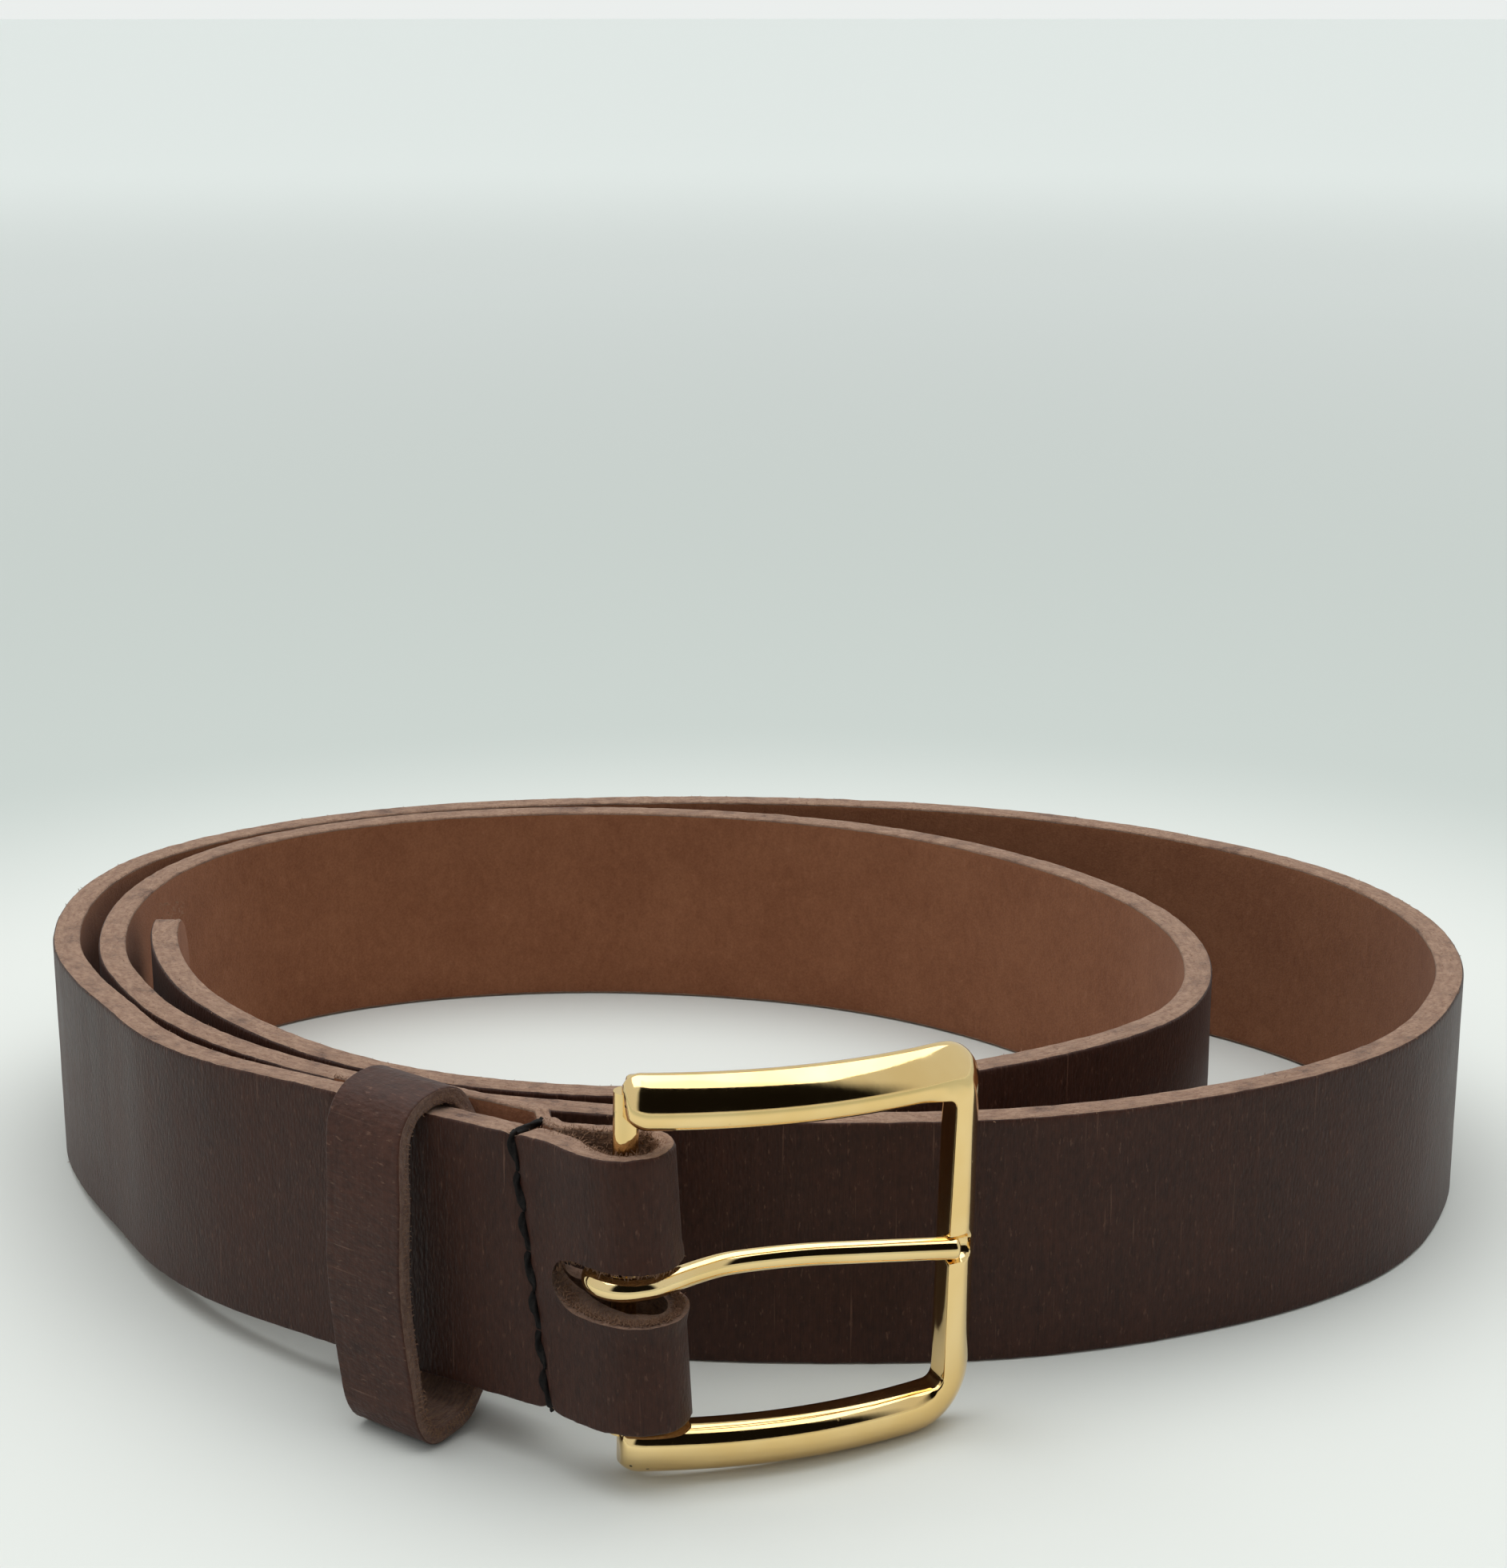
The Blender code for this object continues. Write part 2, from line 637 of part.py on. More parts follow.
def make_prong():
    """Wire bent round the bar and out to the front rail."""
    path = []
    for k in range(15):
        # the loop is bent a little wider where it comes round to the front
        turn = math.radians(-25.0 - 245.0 * k / 14)
        reach = PRONG_LOOP + 0.8 * (k / 14) ** 2
        path.append((reach * math.cos(turn), reach * math.sin(turn)))
    shank = [Vector((u, w, 0.0)) for u, w in [path[-1]] + PRONG_SHANK]
    path += [(p.x, p.y) for p in smooth_route(shank, 2.0)]
    curve = bpy.data.curves.new("prong", "CURVE")
    curve.dimensions = "3D"
    curve.bevel_depth = PRONG_RADIUS * MM
    curve.bevel_resolution = 2
    curve.use_fill_caps = True
    spline = curve.splines.new("POLY")
    spline.points.add(len(path))
    spread = path + [(path[-1][0] + 0.7, path[-1][1])]
    for i, (point, (u, w)) in enumerate(zip(spline.points, spread)):
        point.co = (u * MM, -w * MM, -PRONG_DROP * MM, 1.0)
        if i == len(spread) - 1:
            point.radius = 0.55
    obj = bpy.data.objects.new("prong_curve", curve)
    belt_col.objects.link(obj)
    prong = evaluated_copy(obj, "buckle_prong", belt_col, GOLD_WIRE)
    shade(prong, 50.0)
    return prong


# ---- the keeper --------------------------------------------------------------
KEEPER_BASE = rise(belt_plan(-20.0, 0.0))
KEEPER_JOINT_Z = 18.0                # height of the butt joint above the strap's edge
# the band's middle line: out from the grain face, up from the strap's lower edge
KEEPER_LOOP = [
    (-6.05, KEEPER_JOINT_Z - 0.2), (-6.05, 12.0), (-6.05, 5.0), (-6.0, 1.2),
    (-5.2, -1.8), (-2.8, -3.7), (1.4, -4.7), (4.6, -4.8),
    (6.4, -2.6), (7.0, 2.5), (7.1, 9.5), (6.9, 17.0),
    (6.5, 25.0), (5.6, 30.0), (4.2, 33.6), (2.0, 35.8),
    (-0.8, 36.6), (-3.4, 36.6), (-5.3, 35.5), (-6.05, 32.8), (-6.05, 27.0),
    (-6.05, KEEPER_JOINT_Z + 0.2),
]


def smoothed(t):
    t = min(max(t, 0.0), 1.0)
    return t * t * (3.0 - 2.0 * t)


def keeper_shift(w, z):
    """The loop is pulled askew: its front lies further from the buckle, more so above."""
    behind = -20.3 - 2.6 * smoothed((z - 30.0) / 6.0)
    in_front = -19.0 - 2.6 * smoothed((z + 6.0) / 24.0) - 2.0 * smoothed((z - 24.0) / 12.0)
    forward = smoothed((w + 6.05) / 6.0)
    return behind + (in_front - behind) * forward


def keeper_point(w, z, across):
    return sewn(keeper_shift(w, z) + across, w, KEEPER_BASE + z)


def make_keeper():
    loop = smooth_route([Vector((w, z, 0.0)) for w, z in KEEPER_LOOP], 2.2)
    bm = bmesh.new()
    half = KEEPER_WIDTH / 2.0
    near = [bm.verts.new(keeper_point(p.x, p.y, -half)) for p in loop]
    edges = [bm.edges.new(pair) for pair in zip(near, near[1:])]
    grown = bmesh.ops.extrude_edge_only(bm, edges=edges)
    shift = sewn(half, 0.0, 20.0) - sewn(-half, 0.0, 20.0)
    moved = [v for v in grown["geom"] if isinstance(v, bmesh.types.BMVert)]
    bmesh.ops.translate(bm, verts=moved, vec=shift)
    mesh = bpy.data.meshes.new("keeper_shell")
    bmesh.ops.recalc_face_normals(bm, faces=bm.faces)
    bm.to_mesh(mesh)
    bm.free()
    obj = add_object("keeper_shell", mesh, belt_col)
    solid = obj.modifiers.new("thickness", "SOLIDIFY")
    solid.thickness = KEEPER_LEATHER * MM
    solid.offset = 0.0
    solid.use_even_offset = True
    bevel = obj.modifiers.new("edges", "BEVEL")
    bevel.width = 0.35 * MM
    bevel.segments = 1
    bevel.limit_method = "ANGLE"
    bevel.angle_limit = math.radians(60.0)
    return evaluated_copy(obj, "keeper_loop", belt_col, KEEPER_SKIN)


def make_staple(name, radius, leg_w, col, mat=None):
    """A wire staple across the joint of the keeper's two ends."""
    crown_w = -6.05 - KEEPER_LEATHER / 2.0 + 0.45
    path = []
    for z, w in ((-3.0, leg_w), (-3.0, crown_w), (3.0, crown_w), (3.0, leg_w)):
        path.append(keeper_point(w, KEEPER_JOINT_Z + z, 0.0))
    curve = bpy.data.curves.new(name, "CURVE")
    curve.dimensions = "3D"
    curve.bevel_depth = radius * MM
    curve.bevel_resolution = 1
    curve.use_fill_caps = True
    spline = curve.splines.new("POLY")
    spline.points.add(len(path) - 1)
    for point, p in zip(spline.points, path):
        point.co = (*p, 1.0)
    obj = bpy.data.objects.new(name + "_curve", curve)
    col.objects.link(obj)
    return evaluated_copy(obj, name, col, mat)


# ---- assembly ------------------------------------------------------------------
strap, strap_length = make_strap()
FRONT_THREAD_W = -0.35
BACK_THREAD_W = -LEATHER - SEAM_GAP - 2.25 + 0.35
seam_near = seam_ladder("seam_thread_buckle_side", SEAM_AT, FRONT_THREAD_W, BACK_THREAD_W,
                        0.0, belt_col, WAXED)
seam_far = seam_ladder("seam_thread_far_side", -SEAM_SPACING, FRONT_THREAD_W,
                       BACK_THREAD_W + 0.15, 0.0, belt_col, WAXED_FAR)
groove_near = seam_ladder("seam_cutter_buckle_side", SEAM_AT, FRONT_THREAD_W, BACK_THREAD_W,
                          THREAD_CLEAR, cut_col)
groove_far = seam_ladder("seam_cutter_far_side", -SEAM_SPACING, FRONT_THREAD_W,
                         BACK_THREAD_W + 0.15, THREAD_CLEAR, cut_col)
for cutter in (slot_cutter(), groove_near, groove_far):
    cut(strap, cutter)
for cutter in belt_hole_cutters(strap_length):
    cut(strap, cutter)

bar_axis = bpy.data.objects.new("buckle_bar_axis", None)
belt_col.objects.link(bar_axis)
bar_axis.matrix_world = buckle_place()
for piece in (make_buckle_frame(), make_prong()):
    piece.parent = bar_axis

keeper = make_keeper()
staple = make_staple("keeper_staple", 0.4, -5.25, belt_col, STEEL)
staple_cutter = make_staple("staple_cutter", 0.75, -4.0, cut_col)
cut(keeper, staple_cutter)
for seam in (seam_near, seam_far, staple):
    shade(seam, 50.0)

# the plan route was laid out a little to one side of the coil's middle
for col in (belt_col, cut_col):
    for obj in col.objects:
        if obj.parent is None:
            obj.location += CENTRING * MM
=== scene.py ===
"""Looks of the coiled leather belt: skins, threads, metal, floor, light and camera.

Metres, +Z up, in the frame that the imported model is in.  The strap, the keeper,
the threads and the metal are built here again at a fine scale, on the same
routes and sizes as the solids that they stand for.
"""

import random
from math import ceil, cos, exp, hypot, pi, radians, sin, sqrt, tan

import bmesh
import bpy
from mathutils import Matrix, Vector, noise


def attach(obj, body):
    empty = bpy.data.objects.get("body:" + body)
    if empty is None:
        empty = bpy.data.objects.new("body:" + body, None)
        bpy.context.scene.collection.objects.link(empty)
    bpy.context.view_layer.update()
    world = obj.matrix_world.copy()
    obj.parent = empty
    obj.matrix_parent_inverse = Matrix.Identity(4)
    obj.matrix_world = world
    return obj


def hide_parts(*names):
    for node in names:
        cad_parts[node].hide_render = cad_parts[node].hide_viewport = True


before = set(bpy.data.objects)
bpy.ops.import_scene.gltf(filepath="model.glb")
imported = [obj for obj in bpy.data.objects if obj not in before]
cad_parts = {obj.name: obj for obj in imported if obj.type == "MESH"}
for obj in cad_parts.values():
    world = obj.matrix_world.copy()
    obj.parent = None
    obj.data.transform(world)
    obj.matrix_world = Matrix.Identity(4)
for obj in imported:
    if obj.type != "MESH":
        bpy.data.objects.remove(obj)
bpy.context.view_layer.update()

MM = 0.001
random.seed(20)

# ---- driving dimensions, in millimetres ----
BELT_WIDTH = 35
LEATHER = 4.2  # full strap thickness
EDGE_ROUND = 0.45  # on every long edge of the strap
TIP_RADIUS = 12  # rounded corners of the free end
SEAM_GAP = 0.35  # clearance where two layers are sewn together
CENTRING = Vector((0, 1.14, 0))  # brings the origin under the coil's middle

LEAN = Vector((0, 0.09))  # the buckle end leans back: plan shift per mm of height
MID_Z = 26  # height at which the plan route is true
LIFT = 8.7  # height of the strap's lower edge at the buckle
BUCKLE_END = 240  # run, from the sewn end, that is lifted and leans

SEAM = Vector((-26.3, -89.3))  # buckle-side seam, on the grain face
SEAM_TURN = radians(-37.6)  # the sewn stretch runs in this direction
SEAM_SPACING = 33  # between the two seams
SEAM_AT = -0.4  # thread line, from the seam point
SEAM_SLANT = 2.8  # the seams slope by this much at each edge

FOLD_SLANT = -0.055  # the fold's round end slopes back, per mm of height
RISE_FROM = -110  # X where the lower edge starts to climb
RISE_OVER = 98  # it climbs over this much of X
RISE_CURVE = 0.8
LEAN_FROM = -100  # X where the lean starts
LEAN_OVER = 45
SLANT_FROM = -27  # X where the fold's own slant starts
SLANT_OVER = 15

BAR = Vector((-14.65, -93.2))  # the buckle's bar, in plan
BAR_LEAN = Vector((0.025, 0.009))  # plan shift of the bar per mm of height
BAR_Z = 27.2  # middle height of the buckle
BAR_RADIUS = 1.6
BUCKLE_YAW = radians(22)
BUCKLE_HEIGHT = 52.2
BUCKLE_LEFT = -0.9  # from the bar to the open end of the frame
BUCKLE_RIGHT = 46.8  # from the bar to the outside of the front rail
RAIL_HEIGHT = 6.6
FRONT_RAIL = 5.45
FRAME_OUT = 2.3  # from the bar to the middle of the frame's ends
FRAME_BOW = 4.2  # the frame bulges towards the wearer's front
UPPER_CORNER = 6.3
LOWER_CORNER = 8.8
INNER_CORNER = 1.3

PRONG_RADIUS = 1.5
PRONG_LOOP = BAR_RADIUS + 0.35 + PRONG_RADIUS

SLOT_HEIGHT = 6.6
SLOT_END = -23.5  # X of the slot's round end

KEEPER_WIDTH = 13
KEEPER_LEATHER = 2.2

THREAD = 0.55  # radius of the waxed seam thread
STITCHES = 7

HOLE_DIAMETER = 5
HOLE_PITCH = 25
HOLE_COUNT = 5
FIRST_HOLE = 78  # from the tip


# ---- where things are ----
def smoothed(t):
    t = min(max(t, 0), 1)
    return t * t * (3 - 2 * t)


def belt_plan(s, w):
    """Plan point s mm from the buckle-side seam and w mm out from the grain."""
    along = Vector((cos(SEAM_TURN), sin(SEAM_TURN)))
    out = Vector((sin(SEAM_TURN), -cos(SEAM_TURN)))
    return SEAM + along * s + out * w


def rise(plan):
    """Height of the buckle end's lower edge: it climbs towards the buckle."""
    reach = min(max((plan.x - RISE_FROM) / RISE_OVER, 0), 1)
    return LIFT * reach ** RISE_CURVE


def lean_amount(plan):
    """Share of the lean: none at the coil's left end."""
    return smoothed((plan.x - LEAN_FROM) / LEAN_OVER)


def fold_amount(plan):
    """Share of the fold's own slant: all of it round the bar."""
    return smoothed((plan.x - SLANT_FROM) / SLANT_OVER)


def sewn(s, w, z):
    """A point in the sewn stretch of the strap, where the lean is complete."""
    p = belt_plan(s, w) + LEAN * (z - MID_Z)
    return Vector((p.x, p.y, z)) * MM


def catmull(points, i, t):
    """Centripetal Catmull-Rom point on the stretch from points[i] to the next."""
    p = [points[max(i - 1, 0)], points[i], points[i + 1],
         points[min(i + 2, len(points) - 1)]]
    if i == 0:
        p[0] = p[1] * 2 - p[2]
    if i + 2 > len(points) - 1:
        p[3] = p[2] * 2 - p[1]
    k = [0]
    for a, b in zip(p, p[1:]):
        k.append(k[-1] + max((b - a).length, 1e-6) ** 0.5)
    u = k[1] + (k[2] - k[1]) * t

    def mix(a, b, ka, kb):
        return a * ((kb - u) / (kb - ka)) + b * ((u - ka) / (kb - ka))

    a1 = mix(p[0], p[1], k[0], k[1])
    a2 = mix(p[1], p[2], k[1], k[2])
    a3 = mix(p[2], p[3], k[2], k[3])
    b1 = mix(a1, a2, k[0], k[2])
    b2 = mix(a2, a3, k[1], k[3])
    return mix(b1, b2, k[1], k[2])


def run_along(points):
    """The distance of every point from the first, along them."""
    run = [0]
    for a, b in zip(points, points[1:]):
        run.append(run[-1] + (b - a).length)
    return run


def smooth_route(points, step):
    """Even stations along the curve through the points, about step mm apart."""
    dense = []
    for i in range(len(points) - 1):
        for j in range(24):
            dense.append(catmull(points, i, j / 24))
    dense.append(points[-1].copy())
    run = run_along(dense)
    count = max(int(round(run[-1] / step)), 1)
    stations = []
    j = 0
    for n in range(count + 1):
        want = run[-1] * n / count
        while j < len(run) - 2 and run[j + 1] < want:
            j += 1
        t = (want - run[j]) / max(run[j + 1] - run[j], 1e-9)
        stations.append(dense[j].lerp(dense[j + 1], min(max(t, 0), 1)))
    return stations


# The strap's grain face in plan, followed from the sewn-back end, round the bar
# and then clockwise round the coil to the tip.  Each entry is x, y, thickness.
def sewn_entry(s, w, thick):
    p = belt_plan(s, w)
    return (p.x, p.y, thick)


# How far the folded-back tab lies behind the strap's own back, along the seam line.
TAB_BACK = [sewn_entry(s, -LEATHER - behind, thick) for s, behind, thick in (
    (-39, 1.9, 1.4), (-35.5, 2.2, 1.8), (-33.2, 2.6, 2.1), (-31.2, 3.9, 2.2),
    (-29.2, 5.4, 2.2), (-27.3, 5.7, 2.2), (-20, 5.7, 2.2), (-10, 5.7, 2.2),
    (-5.4, 5.6, 2.2), (-2.6, 3.9, 2.2),
)]
TAB_BACK.append(sewn_entry(0.4, -LEATHER - SEAM_GAP - 2.25, 2.25))
FOLD = [
    (-19.4, -84.9, 2.4), (-16, -86.1, 2.4), (-12.6, -86.7, 2.4), (-9.4, -88.2, 2.3),
    (-7.5, -91.2, 2.2), (-7.3, -94.6, 2.2), (-8.7, -97.6, 2.3), (-11.4, -99.2, 2.4),
    (-14.5, -99.2, 2.4), (-17.6, -97.7, 2.7), (-20.8, -94.9, 3.3), (-23.6, -91.7, 4),
]
FRONT = [sewn_entry(s, 0, LEATHER) for s in (0, -8, -16, -24, -33)]
FRONT.append(sewn_entry(-38, -0.1, LEATHER))
OUTER_TURN = [
    (-73.7, -51.7), (-84.2, -39.3), (-92.3, -25.2), (-101.7, -7.5),
    (-108, 8.8), (-111.2, 27), (-110.4, 44.3), (-105.6, 58.8),
    (-97.3, 70), (-85.9, 79.7), (-71.5, 87.9), (-53.7, 93.9),
    (-32.9, 97.3), (-7, 98.6), (18, 96.6), (36, 93),
    (54, 87), (74.7, 75.6), (93.6, 59.1), (104.9, 42.5),
    (110.6, 24), (111.2, 9), (109.3, -3.5), (105.3, -15),
    (99.4, -26.6), (93, -35), (85, -42.2), (75, -48.8),
    (62.5, -54.8), (48.5, -59.8), (33, -63), (14, -64),
    (-7.2, -63), (-24, -59.8),
]
INNER_TURN = [
    (-37, -56.6), (-51.3, -50.7), (-66.5, -41.2), (-78, -31.4),
    (-87.4, -20.2), (-94.4, -8), (-99.3, 3), (-102.4, 16),
    (-103.5, 29), (-102.4, 42), (-98.6, 55), (-91.3, 67.1),
    (-80.2, 77), (-65.8, 84.5), (-49.3, 89.3), (-29.2, 91.3),
    (-6, 89), (16, 82.6), (32, 74), (46, 62.6),
    (57.6, 49.2), (66, 35.2), (70.6, 21), (72, 6.5),
    (69.8, -9), (64.4, -21.2), (56.2, -30.2), (45.2, -38),
    (32, -44.8), (15, -51),
]
TAIL = [
    (-4, -54.3), (-20, -54.2), (-34, -51.7), (-45.4, -47.9),
    (-56.6, -41.6), (-66.4, -33.6), (-76, -23.2), (-84.2, -11.4),
    (-90.4, 2.2), (-94.3, 16), (-96.2, 33.5),
]

ROUTE = TAB_BACK + FOLD + FRONT
ROUTE = ROUTE + [(x, y, LEATHER) for x, y in OUTER_TURN + INNER_TURN + TAIL]


def stretch(first, last, step):
    """Stations between two route entries, each (plan point, thickness)."""
    points = [Vector(e) for e in ROUTE]
    lo = max(first - 2, 0)
    near = points[lo:min(last + 2, len(points) - 1) + 1]
    found = []
    for i in range(first, last):
        n = max(int(ceil((points[i + 1] - points[i]).length / step)), 1)
        found += [catmull(near, i - lo, j / n) for j in range(n)]
    return found


def wobble(a, b, scale, seed=0):
    """Smooth noise from -1 to 1 at a place (a, b) in millimetres."""
    return noise.noise(Vector((a / scale, b / scale, seed)))


# ---- materials ----
def new_material(name):
    mat = bpy.data.materials.new(name)
    mat.use_nodes = True
    return mat, mat.node_tree, mat.node_tree.nodes["Principled BSDF"]


def add(tree, kind, inputs=None, **settings):
    """A node with its settings; an input that is a socket is linked."""
    made = tree.nodes.new("ShaderNode" + kind)
    for name, value in settings.items():
        setattr(made, name, value)
    for name, value in (inputs or {}).items():
        if isinstance(value, bpy.types.NodeSocket):
            tree.links.new(value, made.inputs[name])
        else:
            made.inputs[name].default_value = value
    return made


def coordinates(tree):
    """Along and across a piece's skin, and its place in space, both in metres."""
    skin = add(tree, "UVMap", uv_map="skin").outputs["UV"]
    return skin, add(tree, "TexCoord").outputs["Object"]


def scaled(tree, source, scale):
    """Coordinates times a scale: one number for all axes, or one number for each."""
    axes = (*scale, 1)[:3] if isinstance(scale, tuple) else (scale, scale, scale)
    return add(tree, "Mapping", {"Vector": source, "Scale": axes}).outputs["Vector"]


def noise_at(tree, source, scale, detail=4, rough=0.6):
    made = add(tree, "TexNoise", {"Vector": scaled(tree, source, scale), "Scale": 1,
            "Detail": detail, "Roughness": rough})
    return made.outputs["Fac"]


def cells_at(tree, source, scale):
    made = add(tree, "TexVoronoi", {"Vector": scaled(tree, source, scale), "Scale": 1})
    return made.outputs["Distance"]


def ramp(tree, value, low, high, to_low=0, to_high=1, curve="LINEAR"):
    made = add(tree, "MapRange", {"Value": value, "From Min": low, "From Max": high,
            "To Min": to_low, "To Max": to_high},
            interpolation_type=curve)
    return made.outputs["Result"]


def mixed(tree, amount, first, second):
    """Colour between two colours or sockets."""
    ends = {0: amount}
    for index, value in ((6, first), (7, second)):
        ends[index] = (*value, 1) if isinstance(value, tuple) else value
    return add(tree, "Mix", ends, data_type="RGBA").outputs[2]


def times(tree, first, second):
    return add(tree, "Math", {0: first, 1: second}, operation="MULTIPLY").outputs[0]


def sums(tree, *pairs):
    """Sum of sockets, each times its number."""
    total = None
    for socket, by in pairs:
        part = times(tree, socket, by)
        if total is not None:
            part = add(tree, "Math", {0: total, 1: part}, operation="ADD").outputs[0]
        total = part
    return total


def finish_shader(tree, shader, colour, rough, height, depth, strength, plain):
    """Colour, roughness and bump; plain holds the sockets that stay unlinked."""
    uneven = add(tree, "Bump", {"Height": height, "Distance": depth, "Strength": strength})
    tree.links.new(colour, shader.inputs["Base Color"])
    tree.links.new(rough, shader.inputs["Roughness"])
    tree.links.new(uneven.outputs["Normal"], shader.inputs["Normal"])
    for name, value in plain.items():
        shader.inputs[name].default_value = value


def fibrous(specular, sheen, sheen_rough):
    return {"Specular IOR Level": specular, "Sheen Weight": sheen,
            "Sheen Roughness": sheen_rough}


def grain_leather(name, dark, light, worn, across=1, crease=0):
    """Dyed, finished leather with fine fibre lines running across the strap."""
    mat, tree, shader = new_material(name)
    skin, place = coordinates(tree)
    fine = noise_at(tree, skin, (5200 * across, 330), 5)
    lines = noise_at(tree, skin, (1500 * across, 60))
    bands = noise_at(tree, skin, (260, 14), 3, 0.5)
    patches = noise_at(tree, place, 70, 4, 0.55)
    pores = cells_at(tree, skin, (2300, 1100))
    flecks = noise_at(tree, skin, (2000, 560), 3)
    pebbles = noise_at(tree, skin, (1050, 620), 3)
    scuffs = noise_at(tree, skin, (2600, 75), 2, 0.4)
    shade_by = sums(tree, (fine, 0.40), (lines, 0.20), (bands, 0.12), (patches, 0.3),
            (pebbles, 0.40))
    colour = mixed(tree, ramp(tree, shade_by, 0.52, 0.92), dark, light)
    colour = mixed(tree, ramp(tree, scuffs, 0.68, 0.80, 0, 0.55), colour, worn)
    colour = mixed(tree, ramp(tree, flecks, 0.61, 0.76, 0, 0.55), colour, worn)
    rough = ramp(tree, sums(tree, (fine, 0.4), (bands, 0.35), (patches, 0.4)),
            0.35, 0.85, 0.40, 0.60)
    parts = [(fine, 0.6), (lines, 0.3), (pores, 0.6), (bands, 0.3), (flecks, 0.8),
            (pebbles, 0.5)]
    if crease > 0:
        parts.append((noise_at(tree, skin, (220, 1500), 3, 0.55), crease))
    finish_shader(tree, shader, colour, rough, sums(tree, *parts), 0.00013, 0.8,
            fibrous(0.23, 0.05, 0.35))
    return mat


def raw_edge(name, tan, pale, dark):
    """The undyed cut edge: layers of fibre that run along the strap."""
    mat, tree, shader = new_material(name)
    skin, place = coordinates(tree)
    layers = noise_at(tree, skin, (420, 2600))
    fuzz = noise_at(tree, place, 1700, 6, 0.75)
    stains = noise_at(tree, place, 190)
    light_by = sums(tree, (layers, 0.4), (fuzz, 0.6))
    dark_by = sums(tree, (stains, 0.5), (fuzz, 0.5))
    colour = mixed(tree, ramp(tree, light_by, 0.42, 0.62), tan, pale)
    colour = mixed(tree, ramp(tree, dark_by, 0.52, 0.66), colour, dark)
    rough = ramp(tree, fuzz, 0.2, 0.8, 0.78, 0.98)
    height = sums(tree, (layers, 0.8), (fuzz, 0.8))
    finish_shader(tree, shader, colour, rough, height, 0.0005, 1, fibrous(0.15, 0.15, 0.6))
    return mat


def suede(name, low, high, streak):
    """The brushed inside of the leather."""
    mat, tree, shader = new_material(name)
    skin, place = coordinates(tree)
    nap = noise_at(tree, place, 2400, 5, 0.7)
    clouds = noise_at(tree, place, 95, 4, 0.55)
    brushed = noise_at(tree, skin, (700, 420))
    shade_by = sums(tree, (nap, 0.5), (clouds, 0.3), (brushed, 0.3))
    colour = mixed(tree, ramp(tree, shade_by, 0.40, 0.70), low, high)
    colour = mixed(tree, ramp(tree, brushed, 0.64, 0.82, 0, 0.25), colour, streak)
    rough = ramp(tree, nap, 0.2, 0.8, 0.85, 1)
    height = sums(tree, (nap, 1), (brushed, 0.4))
    finish_shader(tree, shader, colour, rough, height, 0.00025, 0.8, fibrous(0.12, 0.08, 0.55))
    return mat


def polished_gold(name, colour, pale, stain, rough_low, rough_high, pit_amount):
    """Plated metal with soft scuffs, small dents and a few dark pits."""
    mat, tree, shader = new_material(name)
    place = add(tree, "TexCoord").outputs["Object"]
    ripples = noise_at(tree, place, 260, 3, 0.5)
    scuffs = noise_at(tree, place, (1500, 1500, 900), 5, 0.65)
    clouds = noise_at(tree, place, 90, 3, 0.5)
    pitted = ramp(tree, cells_at(tree, place, 330), 0.05, 0.085, 1, 0)
    pits = times(tree, pitted, ramp(tree, clouds, 0.50, 0.62, 0, pit_amount))
    plate = mixed(tree, ramp(tree, clouds, 0.35, 0.65), colour, pale)
    rough = ramp(tree, sums(tree, (scuffs, 0.6), (clouds, 0.4)), 0.3, 0.7,
            rough_low, rough_high)
    height = sums(tree, (ripples, 0.5), (scuffs, 0.05), (pits, -1))
    finish_shader(tree, shader, mixed(tree, pits, plate, stain), rough, height, 0.00006, 0.5,
            {"Metallic": 1})
    return mat


def waxed_thread(name):
    """Black twisted thread with a dull wax on it."""
    mat, tree, shader = new_material(name)
    place = add(tree, "TexCoord").outputs["Object"]
    twist = noise_at(tree, place, (2600, 2600, 1700))
    wax = noise_at(tree, place, 500, 3, 0.5)
    colour = mixed(tree, ramp(tree, twist, 0.35, 0.7), (0.0022, 0.002, 0.002),
            (0.011, 0.008, 0.007))
    rough = ramp(tree, wax, 0.3, 0.7, 0.50, 0.75)
    finish_shader(tree, shader, colour, rough, twist, 0.0001, 0.8,
            {"Specular IOR Level": 0.15})
    return mat


GRAIN = grain_leather("grain_leather", (0.0175, 0.0055, 0.0030), (0.059, 0.0208, 0.0120),
        (0.18, 0.092, 0.060))
KEEPER_SKIN = grain_leather("keeper_grain_leather", (0.021, 0.0068, 0.0040),
        (0.072, 0.027, 0.0165), (0.25, 0.14, 0.095), 0.35, 0.6)
EDGE = raw_edge("raw_cut_edge", (0.24, 0.128, 0.078), (0.45, 0.285, 0.190),
        (0.085, 0.038, 0.025))
KEEPER_EDGE = raw_edge("keeper_cut_edge", (0.105, 0.048, 0.030), (0.23, 0.130, 0.083),
        (0.045, 0.020, 0.013))
SUEDE = suede("brushed_inside", (0.185, 0.066, 0.029), (0.285, 0.118, 0.057),
        (0.36, 0.19, 0.11))
ROUGH_INSIDE = raw_edge("rough_inside", (0.115, 0.052, 0.029), (0.27, 0.150, 0.088),
        (0.045, 0.020, 0.012))
# painted shade: the slot's cut edge is a darker copy of the cut edge, for the shaded hollow of
# the slot
SLOT_PAINTED_SHADE = raw_edge("slot_painted_shade_edge", (0.155, 0.078, 0.047), (0.34, 0.20, 0.128),
        (0.07, 0.032, 0.020))
FIBRE = suede("loose_fibre", (0.19, 0.095, 0.053), (0.34, 0.20, 0.125), (0.42, 0.28, 0.19))
GOLD = polished_gold("polished_gold_look", (0.86, 0.60, 0.25), (0.92, 0.68, 0.33),
        (0.05, 0.032, 0.016), 0.045, 0.11, 1)
